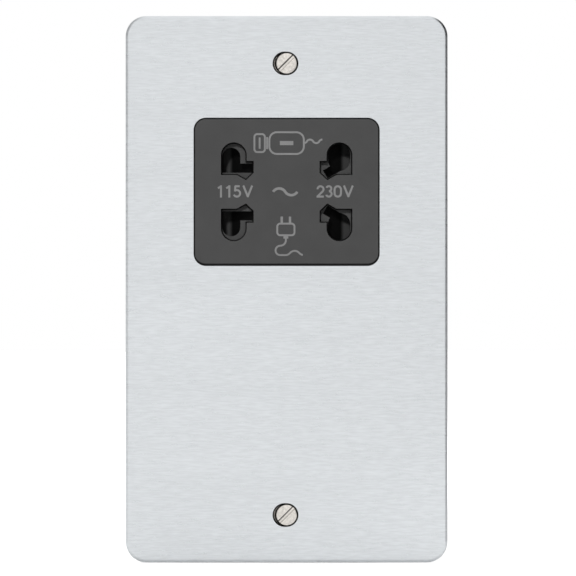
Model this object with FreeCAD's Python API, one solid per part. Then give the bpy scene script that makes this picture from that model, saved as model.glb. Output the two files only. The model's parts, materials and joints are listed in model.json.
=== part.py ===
import FreeCAD, Part
import math
import os

# Dual-voltage shaver socket on a flat steel wall plate, with its isolating transformer.
# Seen from the room, +X is right, +Z is up and the room lies towards -Y. The origin is the
# middle of the wall plate on the wall plane, so the plate stands in front of y = 0 and the
# works stand behind it, inside the wall box. All sizes are millimetres.

# Wall plate and the gasket behind its rim
PLATE_W = 86.0
PLATE_H = 146.0
PLATE_T = 1.5
PLATE_CORNER_R = 5.5
PLATE_EDGE_R = 0.8
GASKET_T = 1.0
GASKET_INSET = 1.0
GASKET_RIM = 6.0
GASKET_INNER_R = 2.25
GASKET_CLEAR = 0.5

# Slotted fixing screws, sunk into recesses of the plate
FIXING_PITCH = 120.6
FIXING_D = 3.5
FIXING_REACH = 25.0
FIXING_HEAD_D = 6.0
FIXING_HEAD_PROUD = 0.35
FIXING_HEAD_EDGE_R = 0.28
FIXING_TIP_CHAMFER = 0.6
FIXING_SLOT_W = 1.1
FIXING_SLOT_DEPTH = 0.75
FIXING_SLOT_ANGLE = 45.0
RECESS_DEPTH = 0.6
RECESS_GAP = 0.15
RECESS_CONE_GAP = 0.03
RECESS_RUN = 0.6

# Weld studs that carry the works on the plate
STUD_INSET = 7.0
STUD_RISE = 4.0
STUD_D = 3.0
STUD_HOLE_GAP = 0.2
STUD_TAIL = 1.2
NUT_SIDES = 6
NUT_ACROSS_FLATS = 5.5
NUT_T = 2.4
NUT_CROWN_SLOPE = 1.73
WASHER_D = 7.0
WASHER_T = 0.6
THREAD_GAP = 0.03

# Socket insert, and its middle's place below the top of the housing
SOCKET_TOP_ROOM = 26.0
INSERT_W = 49.3
INSERT_H = 39.2
INSERT_CORNER_R = 3.1
INSERT_EDGE_R = 0.35
INSERT_PROUD = 0.4
INSERT_FRONT_T = 2.4
INSERT_SKIRT_T = 1.6
INSERT_GAP = 0.2
FLANGE_LIP = 2.0
FLANGE_T = 1.2

# Pin apertures in the insert, measured from the socket's middle to one quarter of it
APERTURE_X = 14.1
APERTURE_W = 6.9
APERTURE_FLAT_Z = 4.5
APERTURE_END_Z = 13.2
APERTURE_DRAFT = 0.35
NOTCH_REACH = 1.85
NOTCH_NEAR_Z = 5.05
NOTCH_FAR_Z = 8.25
TIP_INSET = 0.2
TIP_Z = 3.1
TIP_FOOT_INSET = 2.7

# Pin guide behind the ledge, with different holes on its two sides
GUIDE_T = 2.0
GUIDE_GAP = 0.1
ROUND_115_X = 14.8
ROUND_115_R = 2.42
ROUND_115_END_Z = 11.87
BLADE_NEAR_Z = 5.15
BLADE_SLOT_H = 2.45
BLADE_INNER_X = 8.95
ROUND_230_X = 14.05
ROUND_230_R = 3.0
ROUND_230_NEAR_Z = 5.6
ROUND_230_END_Z = 13.0
ANGLED_SLOT_Z = 6.85
ANGLED_SLOT_W = 2.5
ANGLED_SLOT_REACH = 4.3
ANGLED_SLOT_ANGLE = 30.0
RAIL_T = 1.2

# Sliding shutter, its springs and its travel each way
SLIDE_TRAVEL = 9.0
SLIDE_GAP = 0.3
SLIDE_T = 4.4
SLIDE_TIP_T = 0.6
SLIDE_COVER = 0.5
SLIDE_WEB_W = 3.0
CAM_W = 2.5
CAM_H = 1.2
CAM_NOTCH_DEPTH = 1.0
CAM_OVERRUN = 2.0
SPRING_WIRE_D = 0.4
SPRING_COIL_D = 3.6
SPRING_TURNS = 11
SPRING_END_GAP = 0.2
SPRING_POST_T = 2.6
SPRING_POST_GAP = 0.5

# Switch under the shutter
LEAF_T = 0.3
LEAF_W = 2.2
LEAF_DROP = 0.7
LEAF_NOSE_W = 3.0
LEAF_NOSE_SINK = 0.5
LEAF_FREE_X = 9.0
LEAF_TAIL_X = 26.5
TIP_D = 2.0
TIP_T = 0.4
TIP_OPEN = 0.6
TIP_AT_X = 7.0
LEAF_POST_X = 20.5
LEAF_POST_W = 2.2
LEAF_POST_GAP = 0.3
LEAF_SLIT_GAP = 0.05

# Contact carrier and the contacts in its chambers
CARRIER_DEPTH = 12.0
CARRIER_W = 42.0
CARRIER_H = 30.0
CARRIER_REAR_T = 2.0
CARRIER_FLANGE_T = 2.0
CARRIER_BOSS_INSET = 4.8
CARRIER_BOSS_DOWN = 21.0
CARRIER_BOSS_R = 2.3
CARRIER_BOSS_GAP = 0.2
CHAMBER_INNER_X = 8.3
CHAMBER_OUTER_X = 18.6
CHAMBER_NEAR_Z = 3.6
CHAMBER_FAR_Z = 13.4
CONTACT_T = 0.4
CONTACT_GRIP = 3.8
CONTACT_FOOT = 5.0
CONTACT_MOUTH = 4.8
CONTACT_NEAR_Z = 6.0
CONTACT_FAR_Z = 11.0
CONTACT_LIP_BACK = 0.6
CONTACT_PINCH_BACK = 2.2
FINGER_X = 9.2
FINGER_W = 1.7
FINGER_Z = 7.2
FINGER_SPRUNG_Z = 6.7
TAG_X = 11.0
TAG_COMMON_X = 6.0
TAG_W = 3.0
TAG_Z = 8.6
TAG_T = 0.5
TAG_TAIL = 1.0
TAG_SLOT_GAP = 0.15
BRIDGE_H = 2.4

# Small screws for plastics
SCREW_D = 2.2
SCREW_L = 8.0
SCREW_HEAD_D = 3.8
SCREW_HEAD_H = 1.5
SCREW_HEAD_EDGE_R = 0.5
SCREW_SLOT_W = 0.6
SCREW_SLOT_DEPTH = 0.7
SCREW_HOLE_GAP = 0.2
SCREW_TIP_ROOM = 0.5

# Front housing and rear cover
HOUSING_W = 64.0
HOUSING_H = 104.0
HOUSING_CORNER_R = 3.0
HOUSING_T = 2.0
HOUSING_DEPTH = 12.5
HOUSING_FIT_GAP = 0.15
HOUSING_SEAM = 0.4
EAR_W = 12.0
EAR_RIM = 4.5
PILLAR_INSET = 4.4
PILLAR_R = 2.6
PILLAR_SEAT = 4.0
PILLAR_WELL_R = 2.2
PILLAR_WELL_WALL = 1.4
WIRING_ROOM = 5.5
COVER_T = 2.0
COVER_EDGE_R = 1.2
COVER_STEP_RISE = 10.0
COIL_BACK_ROOM = 2.5
VENT_COUNT = 7
VENT_PITCH = 5.0
VENT_W = 1.8
VENT_L = 24.0
VENT_END_R = 0.8

# Transformer
CORE_TOP_ROOM = 5.7
CORE_LOW_ROOM = 9.0
CORE_LEG_W = 8.0
CORE_STACK = 18.0
COIL_FRONT_ROOM = 3.0
COIL_OVERHANG = 6.0
BOBBIN_T = 1.0
BOBBIN_GAP = 0.2
WINDING_INSET = 0.8
WINDING_CORNER_R = 3.0
STRAP_T = 1.0
STRAP_W = 6.0
STRAP_FOOT = 4.6
SEAT_W = 7.0
CUTOUT_W = 12.0
CUTOUT_DEPTH = 7.0
CUTOUT_H = 3.5
CUTOUT_EDGE_R = 0.6
CUTOUT_INSET = 2.0

# Supply terminals on the step of the rear cover
TERMINAL_PITCH = 14.0
TERMINAL_W = 8.0
TERMINAL_DEPTH = 9.0
TERMINAL_H = 8.0
TERMINAL_INSET = 6.0
TERMINAL_PAD_T = 0.6
TERMINAL_BORE_R = 2.2
TERMINAL_BORE_FLOOR = 1.6
CLAMP_SCREW_D = 3.0
CLAMP_SCREW_HEAD_D = 5.2
CLAMP_SCREW_HEAD_H = 1.8
CLAMP_SCREW_EDGE_R = 0.45
CLAMP_SCREW_SLOT_W = 1.0
CLAMP_SCREW_SLOT_DEPTH = 0.8
CLAMP_SCREW_LIFT = 0.8
CLAMP_SCREW_CLEAR = 0.2
BAY_RIB_T = 2.0
BAY_RIB_RISE = 1.0
BAY_GAP = 0.2
TAIL_W = 4.0
TAIL_T = 0.8
TAIL_REACH = 2.0
EARTH_STRAP_W = 3.0
EARTH_STRAP_GAP = 0.2

# Internal leads
LEAD_R = 0.7
BEND_SHARE = 0.45
LEAD_OVER_CORE = 2.2
LEAD_DROP = 4.0
LEAD_SLANT = 10.0

# Planes along Y, from the room into the wall
PLATE_BACK = -GASKET_T
PLATE_FRONT = PLATE_BACK - PLATE_T
FACE = PLATE_FRONT - INSERT_PROUD
LEDGE = FACE + INSERT_FRONT_T
FLANGE_BACK = PLATE_BACK + FLANGE_T
GUIDE_BACK = LEDGE + GUIDE_T
SLIDE_FRONT = GUIDE_BACK + SLIDE_GAP
SLIDE_BACK = SLIDE_FRONT + SLIDE_T
CARRIER_FRONT = SLIDE_BACK + SLIDE_GAP
CARRIER_BACK = CARRIER_FRONT + CARRIER_DEPTH
CHAMBER_BACK = CARRIER_BACK - CARRIER_REAR_T
SPLIT = GUIDE_BACK + HOUSING_DEPTH
SHALLOW_INSIDE = CARRIER_BACK + WIRING_ROOM
SHALLOW_BACK = SHALLOW_INSIDE + COVER_T
COIL_FRONT = GUIDE_BACK + COIL_FRONT_ROOM
CORE_FRONT = COIL_FRONT + COIL_OVERHANG
CORE_BACK = CORE_FRONT + CORE_STACK
COIL_BACK = CORE_BACK + COIL_OVERHANG
DEEP_INSIDE = COIL_BACK + COIL_BACK_ROOM
DEEP_BACK = DEEP_INSIDE + COVER_T

# Places that follow the housing: the socket hangs from its top, and the core fills the room below
SOCKET_Z = HOUSING_H / 2 - SOCKET_TOP_ROOM
STUD_X = HOUSING_W / 2 - STUD_INSET
STUD_Z = HOUSING_H / 2 + STUD_RISE
PILLAR_X = HOUSING_W / 2 - PILLAR_INSET
PILLAR_Z = HOUSING_H / 2 - PILLAR_INSET
CARRIER_BOSS_X = HOUSING_W / 2 - CARRIER_BOSS_INSET
CARRIER_BOSS_UP = PILLAR_Z - PILLAR_R - CARRIER_BOSS_R - CARRIER_BOSS_GAP - SOCKET_Z
TERMINAL_FLOOR_Z = HOUSING_H / 2 - TERMINAL_INSET - TERMINAL_H
CORE_TOP_Z = SOCKET_Z - CARRIER_BOSS_DOWN - CARRIER_BOSS_R - CORE_TOP_ROOM
CORE_LOW_Z = CORE_LOW_ROOM - HOUSING_H / 2
EARTH_STRAP_OUT_X = PILLAR_X - PILLAR_WELL_R - EARTH_STRAP_GAP
EARTH_STRAP_IN_X = EARTH_STRAP_OUT_X - EARTH_STRAP_W

# Sizes that follow from the ones above
CAVITY_W = INSERT_W - 2 * INSERT_SKIRT_T
CAVITY_H = INSERT_H - 2 * INSERT_SKIRT_T
CAVITY_CORNER_R = INSERT_CORNER_R / 2
ANGLED_DIP = ANGLED_SLOT_REACH * math.sin(math.radians(ANGLED_SLOT_ANGLE))
ANGLED_SIDE = ANGLED_SLOT_W / 2 * math.cos(math.radians(ANGLED_SLOT_ANGLE))
ANGLED_LOW_Z = ANGLED_SLOT_Z - ANGLED_DIP - ANGLED_SIDE
HOLES_OUTER_X = max(ROUND_115_X + ROUND_115_R, ROUND_230_X + ROUND_230_R)
HOLES_END_Z = max(ROUND_115_END_Z, ROUND_230_END_Z)
SLIDE_HALF_BACK = HOLES_OUTER_X + SLIDE_COVER
SLIDE_HALF_FRONT = BLADE_INNER_X - SLIDE_COVER
SLIDE_OUT_Z = HOLES_END_Z + SLIDE_COVER
SLIDE_IN_Z = ANGLED_LOW_Z - SLIDE_COVER
CAM_LOW_Z = -SLIDE_OUT_Z - CAM_H
CAM_HALF = SLIDE_TRAVEL + CAM_OVERRUN
CAM_FRONT = SLIDE_BACK - CAM_W
LEAF_MID = (CAM_FRONT + SLIDE_BACK) / 2
MOVING_LEAF_Z = CAM_LOW_Z - LEAF_DROP
FIXED_LEAF_Z = MOVING_LEAF_Z - LEAF_T - 2 * TIP_T - TIP_OPEN
SPRING_Y = (SLIDE_FRONT + SLIDE_BACK) / 2
SPRING_POST_X = INSERT_W / 2 + INSERT_GAP + SPRING_POST_GAP
INSIDE_X = HOUSING_W / 2 - HOUSING_T
INSIDE_Z = HOUSING_H / 2 - HOUSING_T
CORE_W = 6 * CORE_LEG_W
WINDOW_TOP_Z = CORE_TOP_Z - CORE_LEG_W
WINDOW_LOW_Z = CORE_LOW_Z + CORE_LEG_W
BOBBIN_OUT_X = 2 * CORE_LEG_W - BOBBIN_GAP
STRAP_SCREW_X = CORE_W / 2 + STRAP_T + STRAP_FOOT / 2
STEP_Z = CORE_TOP_Z + COVER_STEP_RISE
TERMINAL_BACK = SHALLOW_BACK + TERMINAL_PAD_T + TERMINAL_DEPTH
BORE_Y = SHALLOW_BACK + TERMINAL_PAD_T + TERMINAL_BORE_FLOOR + TERMINAL_BORE_R
CUTOUT_Y = CORE_FRONT + CUTOUT_INSET + CUTOUT_DEPTH / 2
CUTOUT_Z = CORE_TOP_Z + CUTOUT_H / 2

V = FreeCAD.Vector
ALONG_X = V(1, 0, 0)
ALONG_Y = V(0, 1, 0)
ALONG_Z = V(0, 0, 1)
SIDES = (-1, 1)


def block(x_range, y_range, z_range):
    """A box between two limits on each axis, given in either order."""
    low = V(min(x_range), min(y_range), min(z_range))
    high = V(max(x_range), max(y_range), max(z_range))
    size = high - low
    return Part.makeBox(size.x, size.y, size.z, low)


def drum(radius, front, back, x=0.0, z=0.0):
    """A cylinder along Y."""
    return Part.makeCylinder(radius, back - front, V(x, front, z), ALONG_Y)


def rounded_block(width, height, front, back, radius, z=0.0):
    """A box centred on x = 0 and on z, with its four edges along Y rounded."""
    half_w = width / 2
    half_h = height / 2
    body = block((-half_w, half_w), (front, back), (z - half_h, z + half_h))
    return body.makeFillet(radius, edges_along(body, ALONG_Y))


def edges_along(body, axis):
    """The edges of a block that run along an axis."""
    parallel = 0.99
    return [edge for edge in body.Edges if abs(edge.tangentAt(edge.FirstParameter).dot(axis)) > parallel]


def edges_at(body, y):
    """The edges of a body that lie in the plane at y."""
    tolerance = 1e-4
    return [
        edge for edge in body.Edges
        if abs(edge.BoundBox.YMin - y) < tolerance and abs(edge.BoundBox.YMax - y) < tolerance
    ]


def section_along_z(points, low, high):
    """A prism along Z over an outline of (x, y) points."""
    outline = Part.makePolygon([V(x, y, low) for x, y in points + points[:1]])
    return Part.Face(outline).extrude(V(0, 0, high - low))


def section_along_x(points, low, high):
    """A prism along X over an outline of (y, z) points."""
    outline = Part.makePolygon([V(low, y, z) for y, z in points + points[:1]])
    return Part.Face(outline).extrude(V(high - low, 0, 0))


def section_along_y(points, front, back):
    """A prism along Y over an outline of (x, z) points."""
    outline = Part.makePolygon([V(x, front, z) for x, z in points + points[:1]])
    return Part.Face(outline).extrude(V(0, back - front, 0))


def quarter(body, x_side, z_side):
    """A body of the upper right quarter, mirrored into another quarter of the socket."""
    if x_side < 0:
        body = body.mirror(V(), ALONG_X)
    if z_side < 0:
        body = body.mirror(V(), ALONG_Z)
    return body


def at_socket(body):
    """A body made about the socket's middle, put at its height on the plate."""
    return body.translated(V(0, 0, SOCKET_Z))


def backward_slot(head_back, slot_w, slot_depth, head_d, x, z):
    """The cutter of a screwdriver slot that opens at head_back, towards +Y."""
    return block(
        (x - head_d, x + head_d), (head_back - slot_depth, head_back), (z - slot_w / 2, z + slot_w / 2)
    )


def fixing_hole(z):
    """A stepped hole for a sunk screw, longer towards -X so that the plate can be squared up."""
    recess_r = FIXING_HEAD_D / 2 + RECESS_GAP
    recess_floor = PLATE_FRONT + RECESS_DEPTH
    seat_r = FIXING_HEAD_D / 2 + RECESS_CONE_GAP
    back_r = seat_r - (PLATE_BACK - recess_floor)
    hole = block((-RECESS_RUN, 0), (PLATE_FRONT, recess_floor), (z - recess_r, z + recess_r))
    seat = [
        (recess_floor, z - seat_r),
        (recess_floor, z + seat_r),
        (PLATE_BACK, z + back_r),
        (PLATE_BACK, z - back_r),
    ]
    hole = hole.fuse(section_along_x(seat, -RECESS_RUN, 0))
    for x in (-RECESS_RUN, 0):
        hole = hole.fuse(drum(recess_r, PLATE_FRONT, recess_floor, x, z))
        cone_start = V(x, recess_floor, z)
        hole = hole.fuse(Part.makeCone(seat_r, back_r, PLATE_BACK - recess_floor, cone_start, ALONG_Y))
    return hole.removeSplitter()


def face_plate():
    """The flat steel plate with its window and its two stepped screw holes."""
    plate = rounded_block(PLATE_W, PLATE_H, PLATE_FRONT, PLATE_BACK, PLATE_CORNER_R)
    plate = plate.makeFillet(PLATE_EDGE_R, edges_at(plate, PLATE_FRONT))
    window_r = INSERT_CORNER_R + INSERT_GAP
    plate = plate.cut(rounded_block(
        INSERT_W + 2 * INSERT_GAP, INSERT_H + 2 * INSERT_GAP, PLATE_FRONT, PLATE_BACK, window_r, SOCKET_Z
    ))
    for side in SIDES:
        plate = plate.cut(fixing_hole(side * FIXING_PITCH / 2))
    return plate


def wall_gasket():
    """The foam ring between the plate's rim and the wall."""
    outer_w = PLATE_W - 2 * GASKET_INSET
    outer_h = PLATE_H - 2 * GASKET_INSET
    outer_r = PLATE_CORNER_R - GASKET_INSET
    ring = rounded_block(outer_w, outer_h, PLATE_BACK, 0, outer_r)
    inner_w = outer_w - 2 * GASKET_RIM
    inner_h = outer_h - 2 * GASKET_RIM
    ring = ring.cut(rounded_block(inner_w, inner_h, PLATE_BACK, 0, GASKET_INNER_R))
    housing_w = HOUSING_W + 2 * GASKET_CLEAR
    housing_h = HOUSING_H + 2 * GASKET_CLEAR
    ring = ring.cut(rounded_block(housing_w, housing_h, PLATE_BACK, 0, HOUSING_CORNER_R))
    for x, z in stud_places():
        ring = ring.cut(ear(x, z, PLATE_BACK, 0, GASKET_CLEAR))
    for side in SIDES:
        ring = ring.cut(drum(FIXING_D / 2 + GASKET_CLEAR, PLATE_BACK, 0, 0, side * FIXING_PITCH / 2))
    return ring


def fixing_slot(head_front, z):
    """The cutter of a fixing screw's slanted driver slot, which opens towards -Y."""
    half_w = FIXING_SLOT_W / 2
    slot_y = (head_front, head_front + FIXING_SLOT_DEPTH)
    cutter = block((-FIXING_HEAD_D, FIXING_HEAD_D), slot_y, (-half_w, half_w))
    cutter.rotate(V(), ALONG_Y, -FIXING_SLOT_ANGLE)
    return cutter.translated(V(0, 0, z))


def fixing_screws():
    """Two slotted screws with sunk heads and plain shanks."""
    head_front = PLATE_FRONT - FIXING_HEAD_PROUD
    cone_front = PLATE_FRONT + RECESS_DEPTH
    cone_h = (FIXING_HEAD_D - FIXING_D) / 2
    tip_r = FIXING_D / 2 - FIXING_TIP_CHAMFER
    screws = []
    for side in SIDES:
        z = side * FIXING_PITCH / 2
        head = drum(FIXING_HEAD_D / 2, head_front, cone_front, 0, z)
        head = head.makeFillet(FIXING_HEAD_EDGE_R, edges_at(head, head_front))
        cone = Part.makeCone(FIXING_HEAD_D / 2, FIXING_D / 2, cone_h, V(0, cone_front, z), ALONG_Y)
        shank = drum(FIXING_D / 2, cone_front + cone_h, FIXING_REACH - FIXING_TIP_CHAMFER, 0, z)
        tip_start = V(0, FIXING_REACH - FIXING_TIP_CHAMFER, z)
        tip = Part.makeCone(FIXING_D / 2, tip_r, FIXING_TIP_CHAMFER, tip_start, ALONG_Y)
        screw = head.fuse([cone, shank, tip]).removeSplitter()
        screws.append(screw.cut(fixing_slot(head_front, z)))
    return Part.makeCompound(screws)


def stud_places():
    """The four places of the weld studs, as (x, z)."""
    return [(x_side * STUD_X, z_side * STUD_Z) for x_side in SIDES for z_side in SIDES]


def ear(x, z, front, back, gap):
    """An ear of the housing round a stud, or the room that it needs."""
    half_w = EAR_W / 2 + gap
    ear_z = (math.copysign(INSIDE_Z, z), math.copysign(STUD_Z + EAR_RIM + gap, z))
    return block((x - half_w, x + half_w), (front, back), ear_z)


def carries_earth(x, z):
    """Whether a stud is the upper right one, which takes the earth strap."""
    return x > 0 and z > 0


def plate_studs():
    """Four studs welded to the back of the plate."""
    end = GUIDE_BACK + WASHER_T + NUT_T + STUD_TAIL
    return Part.makeCompound([drum(STUD_D / 2, PLATE_BACK, end, x, z) for x, z in stud_places()])


def stud_washers():
    """Washers on the three studs that don't carry the earth strap."""
    bore_r = STUD_D / 2 + STUD_HOLE_GAP
    washers = []
    for x, z in stud_places():
        if not carries_earth(x, z):
            disc = drum(WASHER_D / 2, GUIDE_BACK, GUIDE_BACK + WASHER_T, x, z)
            washers.append(disc.cut(drum(bore_r, GUIDE_BACK, GUIDE_BACK + WASHER_T, x, z)))
    return Part.makeCompound(washers)


def stud_nuts():
    """Four hexagon nuts on the studs, crowned at the back."""
    front = GUIDE_BACK + WASHER_T
    back = front + NUT_T
    corner_r = NUT_ACROSS_FLATS / 2 / math.cos(math.pi / NUT_SIDES)
    crown_r = NUT_ACROSS_FLATS / 2 + NUT_T * NUT_CROWN_SLOPE
    angles = [2 * math.pi * step / NUT_SIDES for step in range(NUT_SIDES)]
    nuts = []
    for x, z in stud_places():
        outline = [(x + corner_r * math.cos(angle), z + corner_r * math.sin(angle)) for angle in angles]
        crown = Part.makeCone(crown_r, NUT_ACROSS_FLATS / 2, NUT_T, V(x, front, z), ALONG_Y)
        nut = section_along_y(outline, front, back).common(crown)
        nuts.append(nut.cut(drum(STUD_D / 2 + THREAD_GAP, front, back, x, z)))
    return Part.makeCompound(nuts)


def inset_corners(corners, inset):
    """The corners of an open outline, moved in by an inset, with the inside on their left."""
    normals = []
    for start, end in zip(corners, corners[1:]):
        run = (end - start).normalize()
        normals.append(V(-run.z, 0, run.x))
    moved = [corners[0] + normals[0] * inset]
    for corner, before, after in zip(corners[1:], normals, normals[1:]):
        moved.append(corner + (before + after) * (inset / (1 + before.dot(after))))
    moved.append(corners[-1] + normals[-1] * inset)
    return moved


def aperture_outline(y, inset):
    """The outline of the upper right aperture: a D, a notch and a slanted foot."""
    outer = APERTURE_X + APERTURE_W / 2
    inner = APERTURE_X - APERTURE_W / 2
    notch = inner - NOTCH_REACH
    round_z = APERTURE_END_Z - APERTURE_W / 2
    corners = inset_corners([
        V(inner, y, round_z),
        V(inner, y, NOTCH_FAR_Z),
        V(notch, y, NOTCH_FAR_Z),
        V(notch, y, NOTCH_NEAR_Z),
        V(inner + TIP_INSET, y, TIP_Z),
        V(inner + TIP_FOOT_INSET, y, APERTURE_FLAT_Z),
        V(outer, y, APERTURE_FLAT_Z),
        V(outer, y, round_z),
    ], inset)
    edges = [Part.LineSegment(start, end).toShape() for start, end in zip(corners, corners[1:])]
    crown = V(APERTURE_X, y, APERTURE_END_Z - inset)
    edges.append(Part.Arc(corners[-1], crown, corners[0]).toShape())
    return Part.Wire(edges)


def aperture():
    """One aperture with drafted walls, from the face to the ledge."""
    return Part.makeLoft([aperture_outline(FACE, 0), aperture_outline(LEDGE, APERTURE_DRAFT)], True, True)


def socket_insert():
    """The moulded front with four equal apertures, a skirt and a flange behind the plate."""
    body = rounded_block(INSERT_W, INSERT_H, FACE, GUIDE_BACK, INSERT_CORNER_R)
    body = body.makeFillet(INSERT_EDGE_R, edges_at(body, FACE))
    flange_w = INSERT_W + 2 * FLANGE_LIP
    flange_h = INSERT_H + 2 * FLANGE_LIP
    body = body.fuse(rounded_block(flange_w, flange_h, PLATE_BACK, FLANGE_BACK, INSERT_CORNER_R))
    body = body.cut(rounded_block(CAVITY_W, CAVITY_H, LEDGE, GUIDE_BACK, CAVITY_CORNER_R))
    for x_side in SIDES:
        for z_side in SIDES:
            body = body.cut(quarter(aperture(), x_side, z_side))
    return at_socket(body.removeSplitter())


def hole_115():
    """The guide hole for round pins and flat blades, made for the upper right quarter."""
    left = ROUND_115_X - ROUND_115_R
    right = ROUND_115_X + ROUND_115_R
    round_z = ROUND_115_END_Z - ROUND_115_R
    hole = drum(ROUND_115_R, LEDGE, GUIDE_BACK, ROUND_115_X, round_z)
    hole = hole.fuse(block((left, right), (LEDGE, GUIDE_BACK), (BLADE_NEAR_Z, round_z)))
    slot_far_z = BLADE_NEAR_Z + BLADE_SLOT_H
    hole = hole.fuse(block((BLADE_INNER_X, right), (LEDGE, GUIDE_BACK), (BLADE_NEAR_Z, slot_far_z)))
    return hole.removeSplitter()


def hole_230():
    """The guide hole for round pins and slanted blades, made for the upper right quarter."""
    low_z = ROUND_230_NEAR_Z + ROUND_230_R
    high_z = ROUND_230_END_Z - ROUND_230_R
    left = ROUND_230_X - ROUND_230_R
    right = ROUND_230_X + ROUND_230_R
    hole = drum(ROUND_230_R, LEDGE, GUIDE_BACK, ROUND_230_X, low_z)
    hole = hole.fuse(drum(ROUND_230_R, LEDGE, GUIDE_BACK, ROUND_230_X, high_z))
    hole = hole.fuse(block((left, right), (LEDGE, GUIDE_BACK), (low_z, high_z)))
    half_w = ANGLED_SLOT_W / 2
    slot = block((-ANGLED_SLOT_REACH, 0), (LEDGE, GUIDE_BACK), (-half_w, half_w))
    slot.rotate(V(), ALONG_Y, -ANGLED_SLOT_ANGLE)
    return hole.fuse(slot.translated(V(ROUND_230_X, 0, ANGLED_SLOT_Z))).removeSplitter()


def leaf_post(x_side, leaf_z):
    """A post on the guide with the slit that grips the foot of a switch leaf."""
    low_z = -CAVITY_H / 2 + GUIDE_GAP
    high_z = leaf_z + LEAF_POST_GAP
    inner = x_side * LEAF_POST_X
    outer = x_side * (LEAF_POST_X + LEAF_POST_W)
    post = block((inner, outer), (GUIDE_BACK, CARRIER_FRONT), (low_z, high_z))
    slit_front = LEAF_MID - LEAF_W / 2 - LEAF_SLIT_GAP
    slit_z = (leaf_z - LEAF_T - LEAF_SLIT_GAP, leaf_z + LEAF_SLIT_GAP)
    return post.cut(block((inner, outer), (slit_front, CARRIER_FRONT), slit_z))


def pin_guide():
    """The plate behind the ledge, with its rails for the shutter and posts for the switch."""
    width = CAVITY_W - 2 * GUIDE_GAP
    height = CAVITY_H - 2 * GUIDE_GAP
    body = rounded_block(width, height, LEDGE, GUIDE_BACK, CAVITY_CORNER_R)
    rail_z = SLIDE_OUT_Z + SLIDE_GAP
    rail_x = (-width / 2, width / 2)
    body = body.fuse(block(rail_x, (GUIDE_BACK, CARRIER_FRONT), (rail_z, rail_z + RAIL_T)))
    body = body.fuse(block(rail_x, (GUIDE_BACK, CAM_FRONT - SLIDE_GAP), (-rail_z, -rail_z - RAIL_T)))
    body = body.fuse(leaf_post(1, MOVING_LEAF_Z))
    body = body.fuse(leaf_post(-1, FIXED_LEAF_Z))
    for z_side in SIDES:
        body = body.cut(quarter(hole_115(), -1, z_side))
        body = body.cut(quarter(hole_230(), 1, z_side))
    return at_socket(body.removeSplitter())


def shutter_slide():
    """The sliding shutter: two ramped bars over the holes, a web and the cam of the switch."""
    profile = [
        (-SLIDE_HALF_BACK, SLIDE_BACK),
        (-SLIDE_HALF_BACK, SLIDE_BACK - SLIDE_TIP_T),
        (-SLIDE_HALF_FRONT, SLIDE_FRONT),
        (SLIDE_HALF_FRONT, SLIDE_FRONT),
        (SLIDE_HALF_BACK, SLIDE_BACK - SLIDE_TIP_T),
        (SLIDE_HALF_BACK, SLIDE_BACK),
    ]
    half_web = SLIDE_WEB_W / 2
    body = block((-half_web, half_web), (SLIDE_FRONT, SLIDE_BACK), (-SLIDE_IN_Z, SLIDE_IN_Z))
    body = body.fuse(section_along_z(profile, SLIDE_IN_Z, SLIDE_OUT_Z))
    body = body.fuse(section_along_z(profile, -SLIDE_OUT_Z, -SLIDE_IN_Z))
    cam = block((-CAM_HALF, CAM_HALF), (CAM_FRONT, SLIDE_BACK), (CAM_LOW_Z, -SLIDE_OUT_Z))
    notch = [
        (-CAM_NOTCH_DEPTH, CAM_LOW_Z),
        (0, CAM_LOW_Z + CAM_NOTCH_DEPTH),
        (CAM_NOTCH_DEPTH, CAM_LOW_Z),
    ]
    body = body.fuse(cam).cut(section_along_y(notch, CAM_FRONT, SLIDE_BACK))
    return at_socket(body.removeSplitter())


def shutter_spring(x_side):
    """A compression spring between the shutter's web and a post of the housing."""
    start = SLIDE_WEB_W / 2 + SPRING_END_GAP + SPRING_WIRE_D / 2
    end = SPRING_POST_X - SPRING_END_GAP - SPRING_WIRE_D / 2
    coil_r = (SPRING_COIL_D - SPRING_WIRE_D) / 2
    length = end - start
    helix = Part.makeHelix(length / SPRING_TURNS, length, coil_r)
    wire_end = Part.makeCircle(SPRING_WIRE_D / 2, V(coil_r, 0, 0), ALONG_Y)
    coil = Part.Wire(helix.Edges).makePipeShell([Part.Wire(wire_end)], True, True)
    coil.rotate(V(), ALONG_Y, x_side * 90)
    return at_socket(coil.translated(V(x_side * start, SPRING_Y, 0)))


def switch_moving_leaf():
    """The spring leaf whose nose rests in the notch of the shutter's cam."""
    half_nose = LEAF_NOSE_W / 2
    nose_z = CAM_LOW_Z + LEAF_NOSE_SINK
    upper = [
        (LEAF_TAIL_X, MOVING_LEAF_Z),
        (half_nose, MOVING_LEAF_Z),
        (0, nose_z),
        (-half_nose, MOVING_LEAF_Z),
        (-LEAF_FREE_X, MOVING_LEAF_Z),
    ]
    lower = [(x, z - LEAF_T) for x, z in reversed(upper)]
    return at_socket(section_along_y(upper + lower, LEAF_MID - LEAF_W / 2, LEAF_MID + LEAF_W / 2))


def switch_fixed_leaf():
    """The stiff leaf that carries the fixed contact tip."""
    inner = -TIP_AT_X + TIP_D
    leaf_y = (LEAF_MID - LEAF_W / 2, LEAF_MID + LEAF_W / 2)
    return at_socket(block((-LEAF_TAIL_X, inner), leaf_y, (FIXED_LEAF_Z - LEAF_T, FIXED_LEAF_Z)))


def switch_tips():
    """The two contact tips, apart at rest."""
    moving_z = MOVING_LEAF_Z - LEAF_T - TIP_T
    moving = Part.makeCylinder(TIP_D / 2, TIP_T, V(-TIP_AT_X, LEAF_MID, moving_z))
    fixed = Part.makeCylinder(TIP_D / 2, TIP_T, V(-TIP_AT_X, LEAF_MID, FIXED_LEAF_Z))
    return at_socket(Part.makeCompound([moving, fixed]))


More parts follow.
